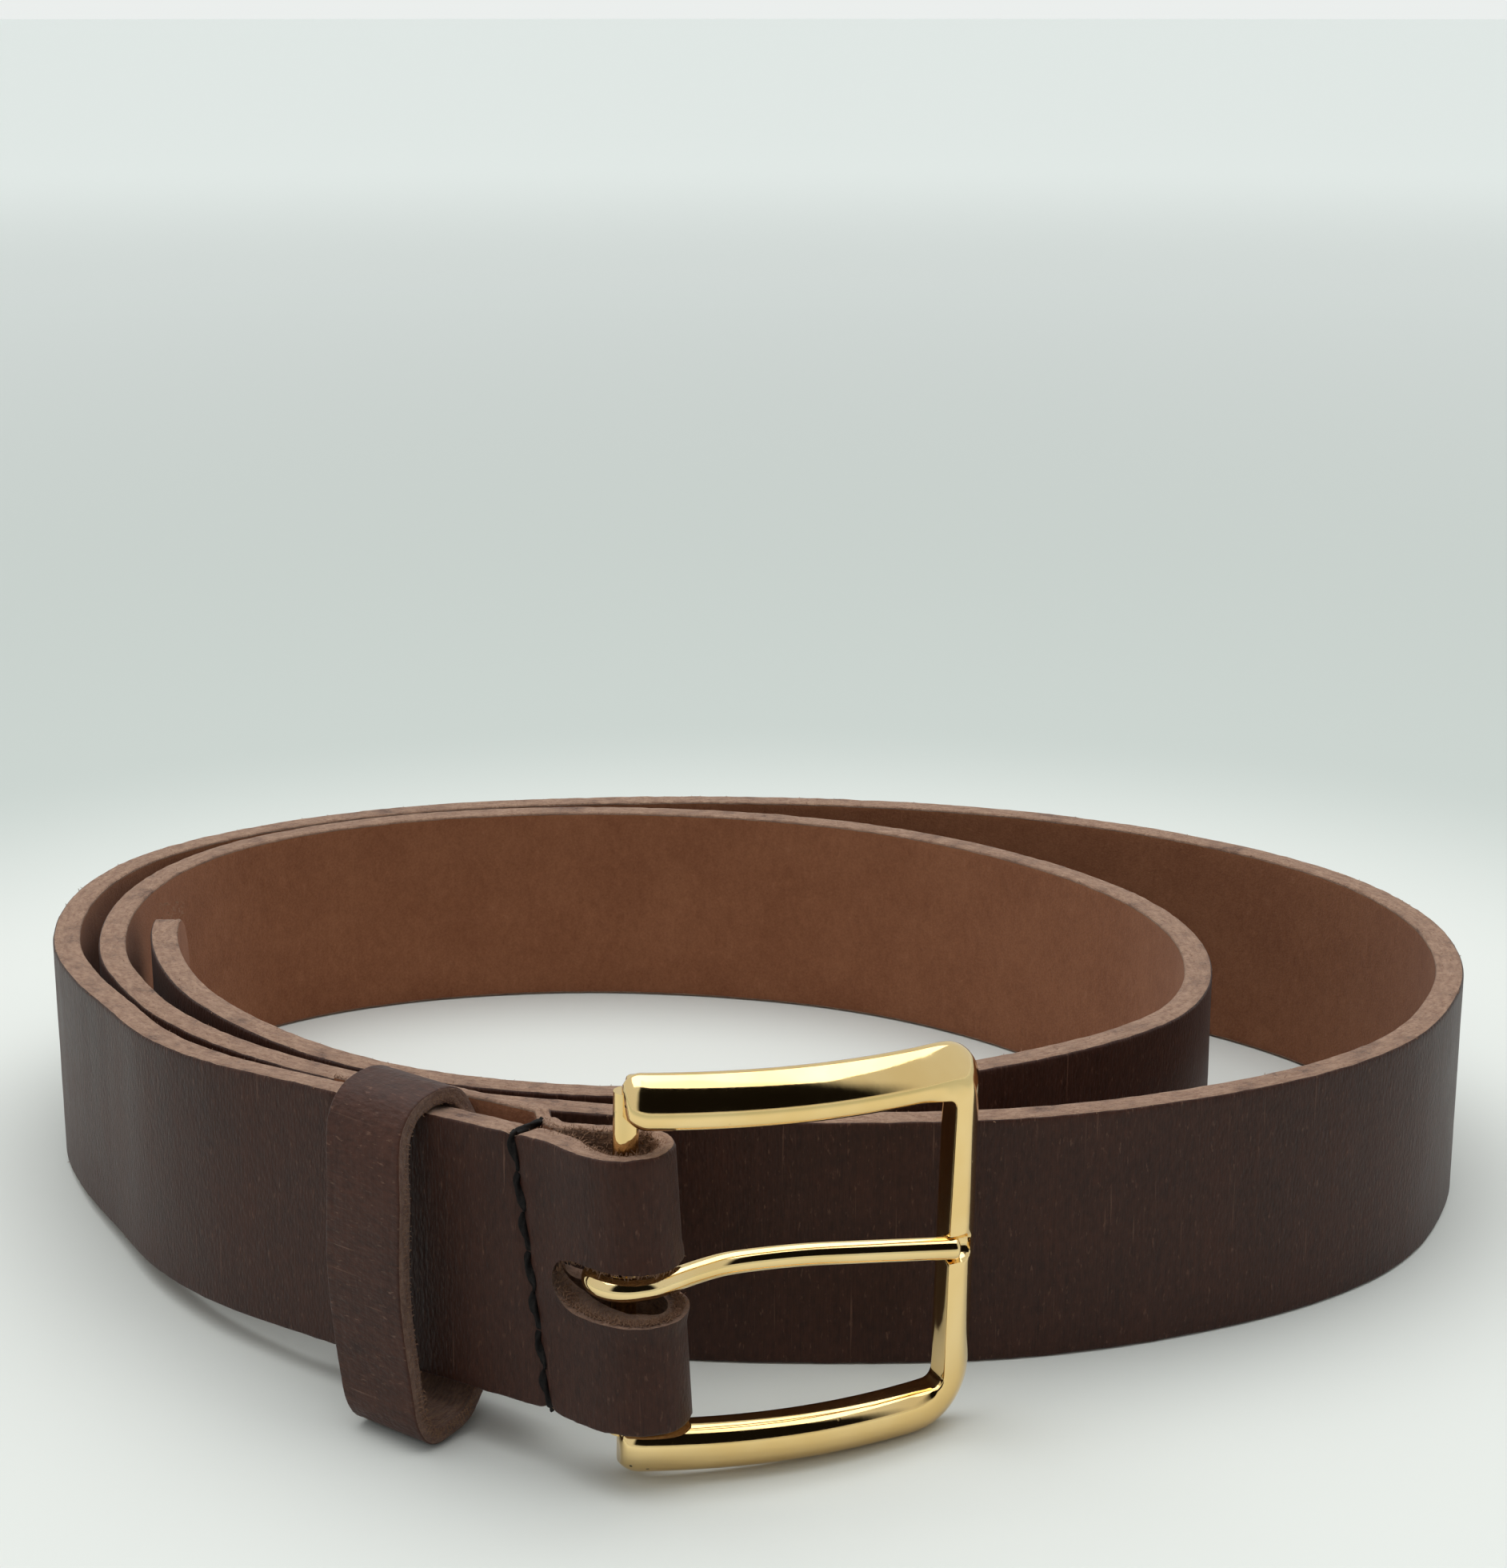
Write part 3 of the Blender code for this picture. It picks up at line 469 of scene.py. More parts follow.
GOLD_WIRE = polished_gold("gold_wire_look", (0.88, 0.63, 0.27), (0.92, 0.70, 0.36),
        (0.08, 0.05, 0.02), 0.05, 0.11, 0.3)
BRASSED = polished_gold("brassed_wire_look", (0.50, 0.36, 0.16), (0.60, 0.45, 0.22),
        (0.10, 0.07, 0.03), 0.25, 0.40, 0.4)
WAXED = waxed_thread("black_waxed_thread")


# ---- mesh helpers ----
def placed(name, data):
    """A new object in the scene."""
    obj = bpy.data.objects.new(name, data)
    bpy.context.scene.collection.objects.link(obj)
    return obj


def join_rings(bm, a, b):
    """Quads all round between two rings of equal size."""
    for k in range(len(a)):
        n = (k + 1) % len(a)
        bm.faces.new((a[k], a[n], b[n], b[k]))


def new_piece(name, bm, materials, sharp=None):
    """An object from a bmesh in plan millimetres, in its place."""
    bmesh.ops.recalc_face_normals(bm, faces=bm.faces)
    bm.transform(Matrix.Translation(CENTRING * MM) @ Matrix.Scale(MM, 4))
    mesh = bpy.data.meshes.new(name)
    bm.to_mesh(mesh)
    bm.free()
    for mat in materials:
        mesh.materials.append(mat)
    mesh.shade_smooth()
    if sharp is not None:
        mesh.set_sharp_from_angle(angle=radians(sharp))
    return placed(name, mesh)


def own(obj, body, slot, *nodes):
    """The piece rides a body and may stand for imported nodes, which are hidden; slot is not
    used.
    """
    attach(obj, body)
    if nodes:
        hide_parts(*nodes)


def tube(bm, points, radius, sides, spin=0, closed=False, bumps=0):
    """A round rod along points; radius is a number or one number per point.

    With bumps it has three strands, which turn by spin from point to point.
    """
    count = len(points)
    rings = []
    last_side = None
    for i, p in enumerate(points):
        if closed:
            ahead = points[(i + 1) % count] - points[i - 1]
        else:
            ahead = points[min(i + 1, count - 1)] - points[max(i - 1, 0)]
        ahead.normalize()
        if last_side is None:
            side = ahead.orthogonal().normalized()
        else:
            side = (last_side - ahead * last_side.dot(ahead)).normalized()
        last_side = side
        other = ahead.cross(side)
        r = radius[i] if isinstance(radius, list) else radius
        ring = []
        for k in range(sides):
            turn = 2 * pi * k / sides
            grow = 1 + bumps * cos(3 * (turn - spin * i))
            ring.append(bm.verts.new(p + (side * cos(turn) + other * sin(turn))
                    * (r * grow)))
        rings.append(ring)
    pairs = list(zip(rings, rings[1:]))
    if closed:
        pairs.append((rings[-1], rings[0]))
    for a, b in pairs:
        join_rings(bm, a, b)
    if not closed:
        bm.faces.new(rings[0][::-1])
        bm.faces.new(rings[-1])


def section_rows(thick, low, high, rows, round_off):
    """Points round a band's section: (depth, height, part).

    Part 0 is the skin, 1 the cut edge, 2 the inside, and 3 the skin's rounded corner.
    """
    e = min(round_off, thick * 0.3)
    span = high - low - 2 * e
    arc = (radians(30), radians(60))
    skin = [(0, low + e + span * k / rows, 0) for k in range(rows + 1)]
    top = [(e - e * cos(a), high - e + e * sin(a), 3) for a in arc]
    top += [(e + (thick - 2 * e) * k / 4, high, 1) for k in range(5)]
    top += [(thick - e + e * sin(a), high - e + e * cos(a), 1) for a in arc]
    inside = [(thick, high - e - span * k / rows, 2) for k in range(rows + 1)]
    bottom = [(depth, low + high - height, part) for depth, height, part in top]
    return skin + top + inside + bottom[::-1]


def part_slot(parts):
    """The material slot of a face from the parts of its two rows."""
    if parts <= {0, 3}:
        return 0
    return 2 if parts == {2} else 1


EDGE_POINTS = 9  # rows of a section between its skin and its inside


def band(bm, sections, runs, place, rows):
    """A closed strip from one ring of section points per station."""
    skin = bm.loops.layers.uv.new("skin")
    rings = []
    for i, ring in enumerate(sections):
        rings.append([bm.verts.new(place(i, depth, height, part))
                for depth, height, part in ring])
    size = len(sections[0])

    def spot(i, k):
        depth, height, part = sections[i][k]
        across = height + depth * 0.5 if part == 1 else height
        return (runs[i] * MM, across * MM)

    for i in range(len(rings) - 1):
        for k in range(size):
            n = (k + 1) % size
            face = bm.faces.new((rings[i][k], rings[i][n], rings[i + 1][n], rings[i + 1][k]))
            parts = {sections[i][k][2], sections[i][n][2]}
            face.material_index = part_slot(parts)
            for loop, (a, b) in zip(face.loops, ((i, k), (i, n), (i + 1, n), (i + 1, k))):
                loop[skin].uv = spot(a, b)
    flesh = rows + 1 + EDGE_POINTS       # the first row of the inside
    for ring in (rings[0], rings[-1]):
        for k in range(rows):
            quad = (ring[k], ring[k + 1], ring[flesh + rows - k - 1], ring[flesh + rows - k])
            face = bm.faces.new(quad)
            face.material_index = 1
            for loop, side in zip(face.loops, (0, 0, 1, 1)):
                loop[skin].uv = (k * MM, side * MM)
        upper = ring[rows:flesh + 1]
        lower = ring[flesh + rows:] + [ring[0]]
        for patch in (upper, lower):
            bm.faces.new(patch).material_index = 1


# ---- the strap's skin ----
FOLD_START = len(TAB_BACK) - 1
FOLD_END = len(TAB_BACK) + len(FOLD)
COIL_START = len(TAB_BACK) + len(FOLD) + len(FRONT) - 1
TIP = len(ROUTE) - 1
ROWS = 40  # rows of faces across the strap
TAB_RUN = 60  # run, from the sewn-back end, to the fold's back
FOLD_RUN = 100  # run to the end of the fold's front
SEWN_RUN = 135  # both seams lie before this run

STATIONS = stretch(0, FOLD_START, 0.8)
STATIONS += stretch(FOLD_START, FOLD_END, 0.5)
STATIONS += stretch(FOLD_END, COIL_START, 0.6)
STATIONS += stretch(COIL_START, TIP - 1, 1.7)
STATIONS += stretch(TIP - 1, TIP, 0.5)
STATIONS.append(Vector(ROUTE[-1]))

RUN = run_along([st.xy for st in STATIONS])


def tip_inset(left):
    """How far the edges draw in at a distance left mm from the tip."""
    if left >= TIP_RADIUS:
        return 0
    d = TIP_RADIUS - left
    return TIP_RADIUS - sqrt(max(TIP_RADIUS ** 2 - d * d, 0))


def seam_run(plan):
    """Distance of a plan point along the sewn stretch from the buckle-side seam."""
    return (plan - SEAM).dot(belt_plan(1, 0) - SEAM)


def station_facts():
    """(height of the lower edge, plan shift per mm of height) for every station."""
    facts = []
    for st, r in zip(STATIONS, RUN):
        base = 0
        lean = Vector((0, 0))
        if r < BUCKLE_END:
            base = rise(st.xy)
            lean = LEAN * lean_amount(st.xy)
            lean.x += FOLD_SLANT * fold_amount(st.xy)
        if r < TAB_RUN:
            base = rise(belt_plan(min(seam_run(st.xy), 12), 0))
        facts.append((base, lean))
    return facts


FACTS = station_facts()
SLOT_MID = rise(BAR) + BELT_WIDTH / 2
SEAMS = ((SEAM_AT, SEAM_SLANT), (-SEAM_SPACING, 0.3))
SEAM_INSET = 0.35  # from the strap's edges to the seams' ends
SEAM_WIDTH = 0.95  # how far the leather is pulled in beside a seam
SEAM_DEPTH = 0.42
SEAM_HOLE_DEPTH = 0.14
EDGE_WAVE = 0.10  # how much the cut edges waver
EDGE_NICKS = 0.07
EDGE_PULL = 0.55  # how much a thread draws the cut edges in
EDGE_ROOM = 0.10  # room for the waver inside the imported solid
RIM = 1.2  # the skin beside an edge that wavers with it
SKIN_WAVE = 0.07
SKIN_GRAIN = 0.035
LIP_RISE = 0.50  # the skin is rolled up round the prong's slot
LIP_WIDTH = 1.1


def skin_point(i, z):
    """Where the skin of a station is at height z."""
    i = min(max(i, 0), len(STATIONS) - 1)
    st = STATIONS[i]
    p = st.xy + FACTS[i][1] * (z - MID_Z)
    return Vector((p.x, p.y, z))


def slot_distance(x, z):
    """Distance outside the prong's slot, seen from the front."""
    half = SLOT_HEIGHT / 2
    over = max(SLOT_END + half - x, 0)
    return hypot(over, z - SLOT_MID) - half


def seam_pull(i, z):
    """0 to 1: how close a point is to a seam, and how close to one of its holes."""
    if RUN[i] > SEWN_RUN:
        return 0, 0
    s = seam_run(STATIONS[i].xy)
    seam_length = BELT_WIDTH - 2 * SEAM_INSET
    part = (z - FACTS[i][0] - SEAM_INSET) / seam_length
    turn = 1 - 2 * min(max(part, 0), 1)
    near = min(abs(s - slant * turn - at) for at, slant in SEAMS)
    hole = abs(part * STITCHES - round(part * STITCHES)) * seam_length / STITCHES
    line = exp(-(near / SEAM_WIDTH) ** 2)
    return line, line * exp(-(hole / 1) ** 2)


def strap_place(i, depth, height, part):
    """Where a point of the strap's section is, with its wear and the seams' pull."""
    r = RUN[i]
    z = FACTS[i][0] + height
    line, hole = seam_pull(i, z)
    rim = min(height, BELT_WIDTH - height)
    flat = 1 - smoothed(abs(height - BELT_WIDTH / 2) / (BELT_WIDTH / 2))
    if part in (1, 3) or rim < RIM:
        # the cut edges waver a little, and the thread pulls them in
        toward = 1 if height < BELT_WIDTH / 2 else -1
        amount = EDGE_WAVE * wobble(r, depth * 3, 2.3, toward)
        amount += EDGE_NICKS * wobble(r, depth * 5, 0.8, toward + 5)
        amount += EDGE_PULL * line + EDGE_ROOM
        z += toward * amount * (1 if part in (1, 3) else 1 - smoothed(rim / RIM) * 0.8)
    here = skin_point(i, z)
    ahead = skin_point(i + 1, z) - skin_point(i - 1, z)
    up = skin_point(i, z + 1) - skin_point(i, z)
    inward = ahead.cross(up).normalized()
    sink = depth
    if part in (0, 3):
        sink += SEAM_DEPTH * line + SEAM_HOLE_DEPTH * hole
        sink -= SKIN_WAVE * wobble(r, z, 22, 3) * flat
        sink -= SKIN_GRAIN * wobble(r, z, 5, 4)
        lip = slot_distance(here.x, here.z)
        if r < FOLD_RUN and lip < 4:
            low_side = 1 if here.z < SLOT_MID else 0.45
            sink -= LIP_RISE * low_side * exp(-(max(lip, 0) / LIP_WIDTH) ** 2)
    elif part == 2:
        sink -= 0.05 * wobble(r, z, 3, 8)
    return here + inward * sink


def strap_sections():
    sections = []
    for st, r in zip(STATIONS, RUN):
        inset = tip_inset(RUN[-1] - r)
        sections.append(section_rows(st.z, inset, BELT_WIDTH - inset, ROWS, EDGE_ROUND))
    return sections


def rod(bm, a, b, radius, sides):
    tube(bm, [a.lerp(b, k / 6) for k in range(7)], radius, sides)


LIP_SLOPE = 0.85  # how far the slot's lower lip slopes away in front
SLOT_RIGHT = 6  # X past the fold, where the slot's cutter ends
CUT_FRONT = -112  # Y in front of the fold
CUT_BACK = -76  # Y between the tab and the strap behind it


def strap_cutters():
    """The prong's oblong slot and the five belt holes, as one cutter."""
    bm = bmesh.new()
    half = SLOT_HEIGHT / 2
    outline = []
    for k in range(25):
        turn = radians(90 + 180 * k / 24)
        reach = half + 0.12 * wobble(k * 1.7, 0, 1, 2)
        lip = LIP_SLOPE * smoothed(0.15 + 0.85 * k / 20)
        away = Vector((cos(turn), sin(turn)))
        outline.append((Vector((SLOT_END + half, 0)) + away * reach, away * lip))
    for side in (-1, 1):
        steps = range(1, 60) if side < 0 else range(59, 0, -1)
        for k in steps:
            x = SLOT_END + half + (SLOT_RIGHT - SLOT_END - half) * k / 60
            z = side * (half + 0.10 * wobble(x, side, 0.9, 6))
            lip = (LIP_SLOPE if side < 0 else 0.15) * (1 - smoothed((x + 12.5) / 3.5))
            outline.append((Vector((x, z)), Vector((0, side * lip))))
    faces_at = [(st.x, st.y) for st, r in zip(STATIONS, RUN) if 55 < r < FOLD_RUN]
    rings = [[], [], [], []]
    for p, slope in outline:
        front_y = min(faces_at, key=lambda place: abs(place[0] - p.x))[1]
        for ring, y, share in zip(rings, (CUT_FRONT, front_y - 0.3, front_y + 2.5, CUT_BACK),
                (0.1, 0.05, -0.8, -0.8)):
            at = p + slope * share
            ring.append(bm.verts.new((at.x, y, SLOT_MID + at.y)))
    bm.faces.new(rings[0])
    bm.faces.new(rings[-1][::-1])
    for near, far in zip(rings, rings[1:]):
        for k in range(len(near)):
            n = (k + 1) % len(near)
            bm.faces.new((near[k], far[k], far[n], near[n]))
    marks = [RUN[-1] - FIRST_HOLE - HOLE_PITCH * k for k in range(HOLE_COUNT)]
    for mark in marks:
        i = next(j for j in range(len(RUN)) if RUN[j] >= mark)
        p = STATIONS[i].xy
        ahead = (STATIONS[i + 1].xy - STATIONS[i - 1].xy).normalized()
        inward = Vector((ahead.y, -ahead.x))
        a = p - inward * 0.5
        b = p + inward * (LEATHER + 0.9)
        z = BELT_WIDTH / 2
        rod(bm, Vector((a.x, a.y, z)), Vector((b.x, b.y, z)), HOLE_DIAMETER / 2, 28)
    cutter = new_piece("opening_cutter", bm, [SLOT_PAINTED_SHADE])
    cutter.hide_render = True
    return cutter


def in_fold(at):
    """True for a plan point in the hollow fold round the bar."""
    return at.y < -84 and at.x > -27


def make_strap():
    bm = bmesh.new()
    band(bm, strap_sections(), RUN, strap_place, ROWS)
    for face in bm.faces:
        if face.material_index == 2 and in_fold(face.calc_center_median()):
            face.material_index = 3
    strap = new_piece("belt_strap_leather", bm, [GRAIN, EDGE, SUEDE, ROUGH_INSIDE, SLOT_PAINTED_SHADE])
    cutter = strap_cutters()
    cutting = strap.modifiers.new("openings", "BOOLEAN")
    cutting.operation = "DIFFERENCE"
    cutting.solver = "EXACT"
    cutting.material_mode = "TRANSFER"
    cutting.object = cutter
    graph = bpy.context.evaluated_depsgraph_get()
    mesh = bpy.data.meshes.new_from_object(strap.evaluated_get(graph))
    strap.modifiers.clear()
    strap.data = mesh
    mesh.set_sharp_from_angle(angle=radians(50))
    bpy.data.objects.remove(cutter, do_unlink=True)
    own(strap, "strap_body", "strap_leather", "strap")


# ---- the seams' threads ----
FRONT_THREAD_W = -0.35
BACK_THREAD_W = -LEATHER - SEAM_GAP - 2.25 + 0.35
STITCH_RISE = 0.55  # how far a stitch stands out between its holes
STITCH_SINK = 0.60  # how deep the thread lies at a hole
STITCH_SWAY = 0.30


def make_thread(name, seam, front_w, back_w, node):
    """A waxed thread that goes round both layers and dips at every hole."""
    s, seam_slant = seam
    base = rise(belt_plan(s, 0))
    z0 = base + SEAM_INSET
    z1 = base + BELT_WIDTH - SEAM_INSET

    def at(z, w):
        slant = seam_slant * (1 - 2 * (z - z0) / (z1 - z0))
        return sewn(s + slant, w, z) / MM

    path = []
    radius = []

    def face(w, out, upward):
        steps = STITCHES * 16
        for k in range(steps + 1):
            t = k / steps if upward else 1 - k / steps
            stitch = t * STITCHES
            dip = abs(sin(pi * stitch)) ** 0.5
            sway = STITCH_SWAY * sin(2 * pi * stitch)
            p = at(z0 + (z1 - z0) * t, w + out * (STITCH_RISE * dip - STITCH_SINK))
            path.append(p + (at(z0, w) - sewn(s - 1, w, z0) / MM).normalized() * sway)
            radius.append(THREAD * (0.60 + 0.42 * dip + 0.16 * wobble(stitch, w, 0.3, s)))

    def over_edge(z, from_w, to_w, drop, bow, thin):
        for k in range(1, 12):
            t = k / 12
            p = at(z, from_w + (to_w - from_w) * t)
            p.z -= drop + bow * sin(pi * t)
            path.append(p)
            radius.append(THREAD * thin)

    face(front_w, 1, True)
    over_edge(z1, front_w, back_w, 0.30, -0.12, 0.78)
    face(back_w, -1, False)
    over_edge(z0, back_w, front_w, 0, 0.12, 0.95)
    bm = bmesh.new()
    tube(bm, path, radius, 15, 0.22, True, 0.26)
    own(new_piece(name, bm, [WAXED]), "strap_body", "waxed_thread", node)


# ---- loose fibres ----
SLOT_FUZZ = 0.085  # radius of the fibres in the slot and the fold


def add_fibre(bm, root, lean_to, length, radius):
    """One short bent hair of leather."""
    bend = Vector((random.uniform(-1, 1), random.uniform(-1, 1), random.uniform(-1, 1)))
    points = []
    for k in range(5):
        t = k / 4
        points.append(root + lean_to * (length * t) + bend * (length * 0.35 * t * t))
    tube(bm, points, [radius * (1 - 0.7 * k / 4) for k in range(5)], 3)


def scattered(v, by):
    """The vector, turned at random."""
    return v + Vector((random.gauss(0, by), random.gauss(0, by), random.gauss(0, by)))


def under_keeper(i):
    """True where the keeper sits or slides; its inside rubs the edges smooth there."""
    return RUN[i] < 150 and -32 < seam_run(STATIONS[i].xy) < -3


def strap_fibres():
    """Fuzz at the slot's lip, at the fold's open top and along the cut edges."""
    bm = bmesh.new()
    front = [i for i in range(len(STATIONS)) if 40 < RUN[i] < FOLD_RUN]
    half = SLOT_HEIGHT / 2
    for i in front:
        x = STATIONS[i].x
        if x < SLOT_END - 0.5:
            continue
        over = max(SLOT_END + half - x, 0)
        reach = sqrt(max(half * half - over * over, 0))
        for side, count in ((-1, 20), (1, 5)):
            for _ in range(count):
                z = SLOT_MID + side * (reach - 0.1)
                depth = random.uniform(0.1, STATIONS[i].z * 0.6)
                root = strap_place(i, depth, z - FACTS[i][0], 2)
                toward = scattered(Vector((0, -0.5, -side)), 0.5).normalized()
                add_fibre(bm, root, toward, random.uniform(0.3, 0.85), SLOT_FUZZ)
    for i in range(len(STATIONS) - 1):
        inside = RUN[i] < FOLD_RUN
        if under_keeper(i):
            continue
        for _ in range(8 if inside else 5):
            depth = random.uniform(0.6, 1) * STATIONS[i].z if inside else (
                random.uniform(0, 1) * STATIONS[i].z)
            top = random.random() < 0.7
            height = BELT_WIDTH - 0.2 if top else 0.25
            root = strap_place(i, depth, height, 1)
            toward = scattered(Vector((0, 0, 0.6 if top else -0.1)), 0.6).normalized()
            if not top and root.z < 0.8:
                toward.z = abs(toward.z)
            length = random.uniform(0.15, 0.55) if inside else random.uniform(0.12, 0.45)
            add_fibre(bm, root, toward, length, random.uniform(0.05, 0.10))
    for i in range(len(STATIONS)):
        if not in_fold(STATIONS[i]):
            continue
        for _ in range(16):
            height = BELT_WIDTH - random.uniform(0, 4.5)
            root = strap_place(i, STATIONS[i].z - 0.05, height, 2)
            inward = strap_place(i, STATIONS[i].z + 1, height, 2) - root
            toward = scattered(inward.normalized() * 0.6 + Vector((0, 0, 0.3)), 0.5)
            add_fibre(bm, root, toward.normalized(), random.uniform(0.3, 1), SLOT_FUZZ)
    own(new_piece("belt_strap_fibres", bm, [FIBRE]), "strap_body", "strap_leather")


# ---- the buckle ----
def buckle_place():
    """Buckle frame to world: u along the rails, w out, and z up the bar."""
    up = Vector((BAR_LEAN.x, BAR_LEAN.y, 1)).normalized()
    along = Vector((cos(BUCKLE_YAW), sin(BUCKLE_YAW), 0))
    along = (along - up * along.dot(up)).normalized()
    out = along.cross(up)
    turn = Matrix((along, -out, up)).transposed().to_4x4()
    lean = BAR_LEAN * (BAR_Z - MID_Z)
    spot = Vector((BAR.x + lean.x, BAR.y + lean.y, BAR_Z)) * MM
    return Matrix.Translation(spot) @ turn


def bowed(u):
    """How far the middle of the frame stands out from the bar at u."""
    half = (BUCKLE_RIGHT - BUCKLE_LEFT) / 2
    mid = BUCKLE_LEFT + half
    return FRAME_OUT + FRAME_BOW * (1 - ((u - mid) / half) ** 2)


def half_frame(corner):
    """Pairs of points (outside, inside) from the open end to the front rail's middle."""
    half = BUCKLE_HEIGHT / 2
    rail = half - RAIL_HEIGHT
    turn_u = BUCKLE_RIGHT - corner
    turn_z = half - corner
    in_u = BUCKLE_RIGHT - FRONT_RAIL - INNER_CORNER
    in_z = rail - INNER_CORNER
    pairs = []
    for k in range(10):
        t = k / 9
        pairs.append(((BUCKLE_LEFT + (turn_u - BUCKLE_LEFT) * t, half),
                (BUCKLE_LEFT + (in_u - BUCKLE_LEFT) * t, rail)))
    for k in range(1, 7):
        turn = radians(90 - 90 * k / 6)
        pairs.append(((turn_u + corner * cos(turn), turn_z + corner * sin(turn)),
                (in_u + INNER_CORNER * cos(turn),
                in_z + INNER_CORNER * sin(turn))))
    for k in range(1, 4):
        t = 1 - k / 4
        pairs.append(((BUCKLE_RIGHT, turn_z * t), (BUCKLE_RIGHT - FRONT_RAIL, in_z * t)))
    return pairs


def frame_stations():
    """Pairs of points along the C from the upper open end to the lower one."""
    upper = half_frame(UPPER_CORNER)
    lower = [((a[0], -a[1]), (b[0], -b[1])) for a, b in half_frame(LOWER_CORNER)]
    middle = [((BUCKLE_RIGHT, 0), (BUCKLE_RIGHT - FRONT_RAIL, 0))]
    return upper + middle + list(reversed(lower))


PRONG_DROP = 0.7  # the prong lies this far below the buckle's middle
# the prong's middle as pairs: u along the buckle, and how far it stands out from the bar
REST_START = (37.6, 4.25)
REST_END = (45.1, 6)
PRONG_SHANK = [(1.9, 4.2), (5, 3.1), (8.8, 1.7), (12.7, 0.65), (16.2, 0.5),
        (23.3, 1.1), (30, 2.5), (34.5, 3.53), (38, 4.34), (40.4, 4.9),
        (42.4, 5.37)]


# a rail's section, half-width and depth: a high inner shoulder and an outer slope
RAIL_SECTION = [
    (-2.9, -2.12), (-3.3, -1.7), (-3.3, -0.6), (-3.2, 0.35), (-2.98, 1.05),
    (-2.45, 1.72), (-1.7, 2.12), (-0.85, 2.3), (0, 2.22), (0.8, 1.95),
    (1.6, 1.5), (2.2, 1.05), (2.75, 0.45), (3.12, -0.2), (3.3, -0.95),
    (3.3, -1.7), (2.9, -2.12), (2.4, -2.3), (0, -2.3), (-2.4, -2.3),
]
SECTION_HALF = 3.3  # half the width of that section
SECTION_TOP = 2.3  # its highest depth share
UPPER_TWIST = 8  # degrees the upper rail's front is turned up
END_ROUND = 2.2  # the rails' open ends are rounded over this length
FRONT_RAIL_FROM = 36  # u where the front rail begins
FRONT_FLAT = 0.8  # how much flatter the front rail is
REST_ROOM = 0.16  # room between the prong and its rest


def closed_smooth(points, parts):
    """Points on a smooth closed curve through the given ones."""
    pts = [Vector(p) for p in points]
    n = len(pts)
    found = []
    for i in range(n):
        window = [pts[(i + k) % n] for k in (-1, 0, 1, 2)]
        for j in range(parts):
            found.append(catmull(window, 1, j / parts))
    return found


def dense_pairs():
    """The C of the frame in fine steps, as pairs of outside and inside points."""
    pairs = frame_stations()
    outer = [Vector(a) for a, b in pairs]
    inner = [Vector(b) for a, b in pairs]
    found = []
    for i in range(len(pairs) - 1):
        gap = (outer[i + 1] - outer[i]).length + (inner[i + 1] - inner[i]).length
        n = max(int(gap / 0.7), 2)
        for j in range(n):
            found.append((catmull(outer, i, j / n), catmull(inner, i, j / n)))
    found.append((outer[-1], inner[-1]))
    return found


def frame_rails(bm, place):
    """The frame's three rails, as one C."""
    pairs = dense_pairs()
    section = closed_smooth(RAIL_SECTION, 3)
    rest_a = Vector(REST_START)
    rest_b = Vector(REST_END)
    reach = PRONG_RADIUS + REST_ROOM
    rings = []
    for out, inside in pairs:
        mid = (out + inside) / 2
        half = (out - mid).length
        across = (out - mid).normalized()
        # the two open ends are rounded off
        lead = abs(out.x - BUCKLE_LEFT)
        shrink = 1
        if lead < END_ROUND:
            shrink = sqrt(max(1 - (1 - lead / END_ROUND) ** 2 * 0.62, 0.1))
        # the upper rail's front is turned up a little more than the lower one's
        twist = radians(UPPER_TWIST) * smoothed(mid.y / (BUCKLE_HEIGHT / 2) * 1.3)
        ring = []
        for a, high in section:
            d = high
            if high > -1.2:
                d = high - tan(twist) * a * smoothed((high + 1.2) / 2)
            # the front rail is flatter, with a tighter inner shoulder
            if a < -0.85 and high > -0.6:
                front = smoothed((mid.x - FRONT_RAIL_FROM) / 5)
                front *= smoothed((high + 0.6) / 1.6)
                d += FRONT_FLAT * front * (SECTION_TOP - high)
            p = mid + across * (a / SECTION_HALF * half * shrink)
            w = bowed(p.x) + d * shrink
            # the prong has a rest in the front rail
            share = (p.x - rest_a.x) / (rest_b.x - rest_a.x)
            line_w = rest_a.y + (rest_b.y - rest_a.y) * share
            off = p.y + PRONG_DROP
            if p.x > 38 and abs(off) < reach and d > -1.5 and p.x < 44.9:
                floor_w = line_w - sqrt(reach * reach - off * off)
                w = min(w, floor_w)
            ring.append(bm.verts.new(place @ (Vector((p.x, -w, p.y)) * MM) / MM))
        rings.append(ring)
    for a, b in zip(rings, rings[1:]):
        join_rings(bm, a, b)
    bm.faces.new(rings[0])
    bm.faces.new(rings[-1][::-1])


BAR_ENDS = (4.6, 2.6)  # how far the bar stops short of the frame, low and high
LUG_WIDE = 2.4
LUG_DEEP = 5


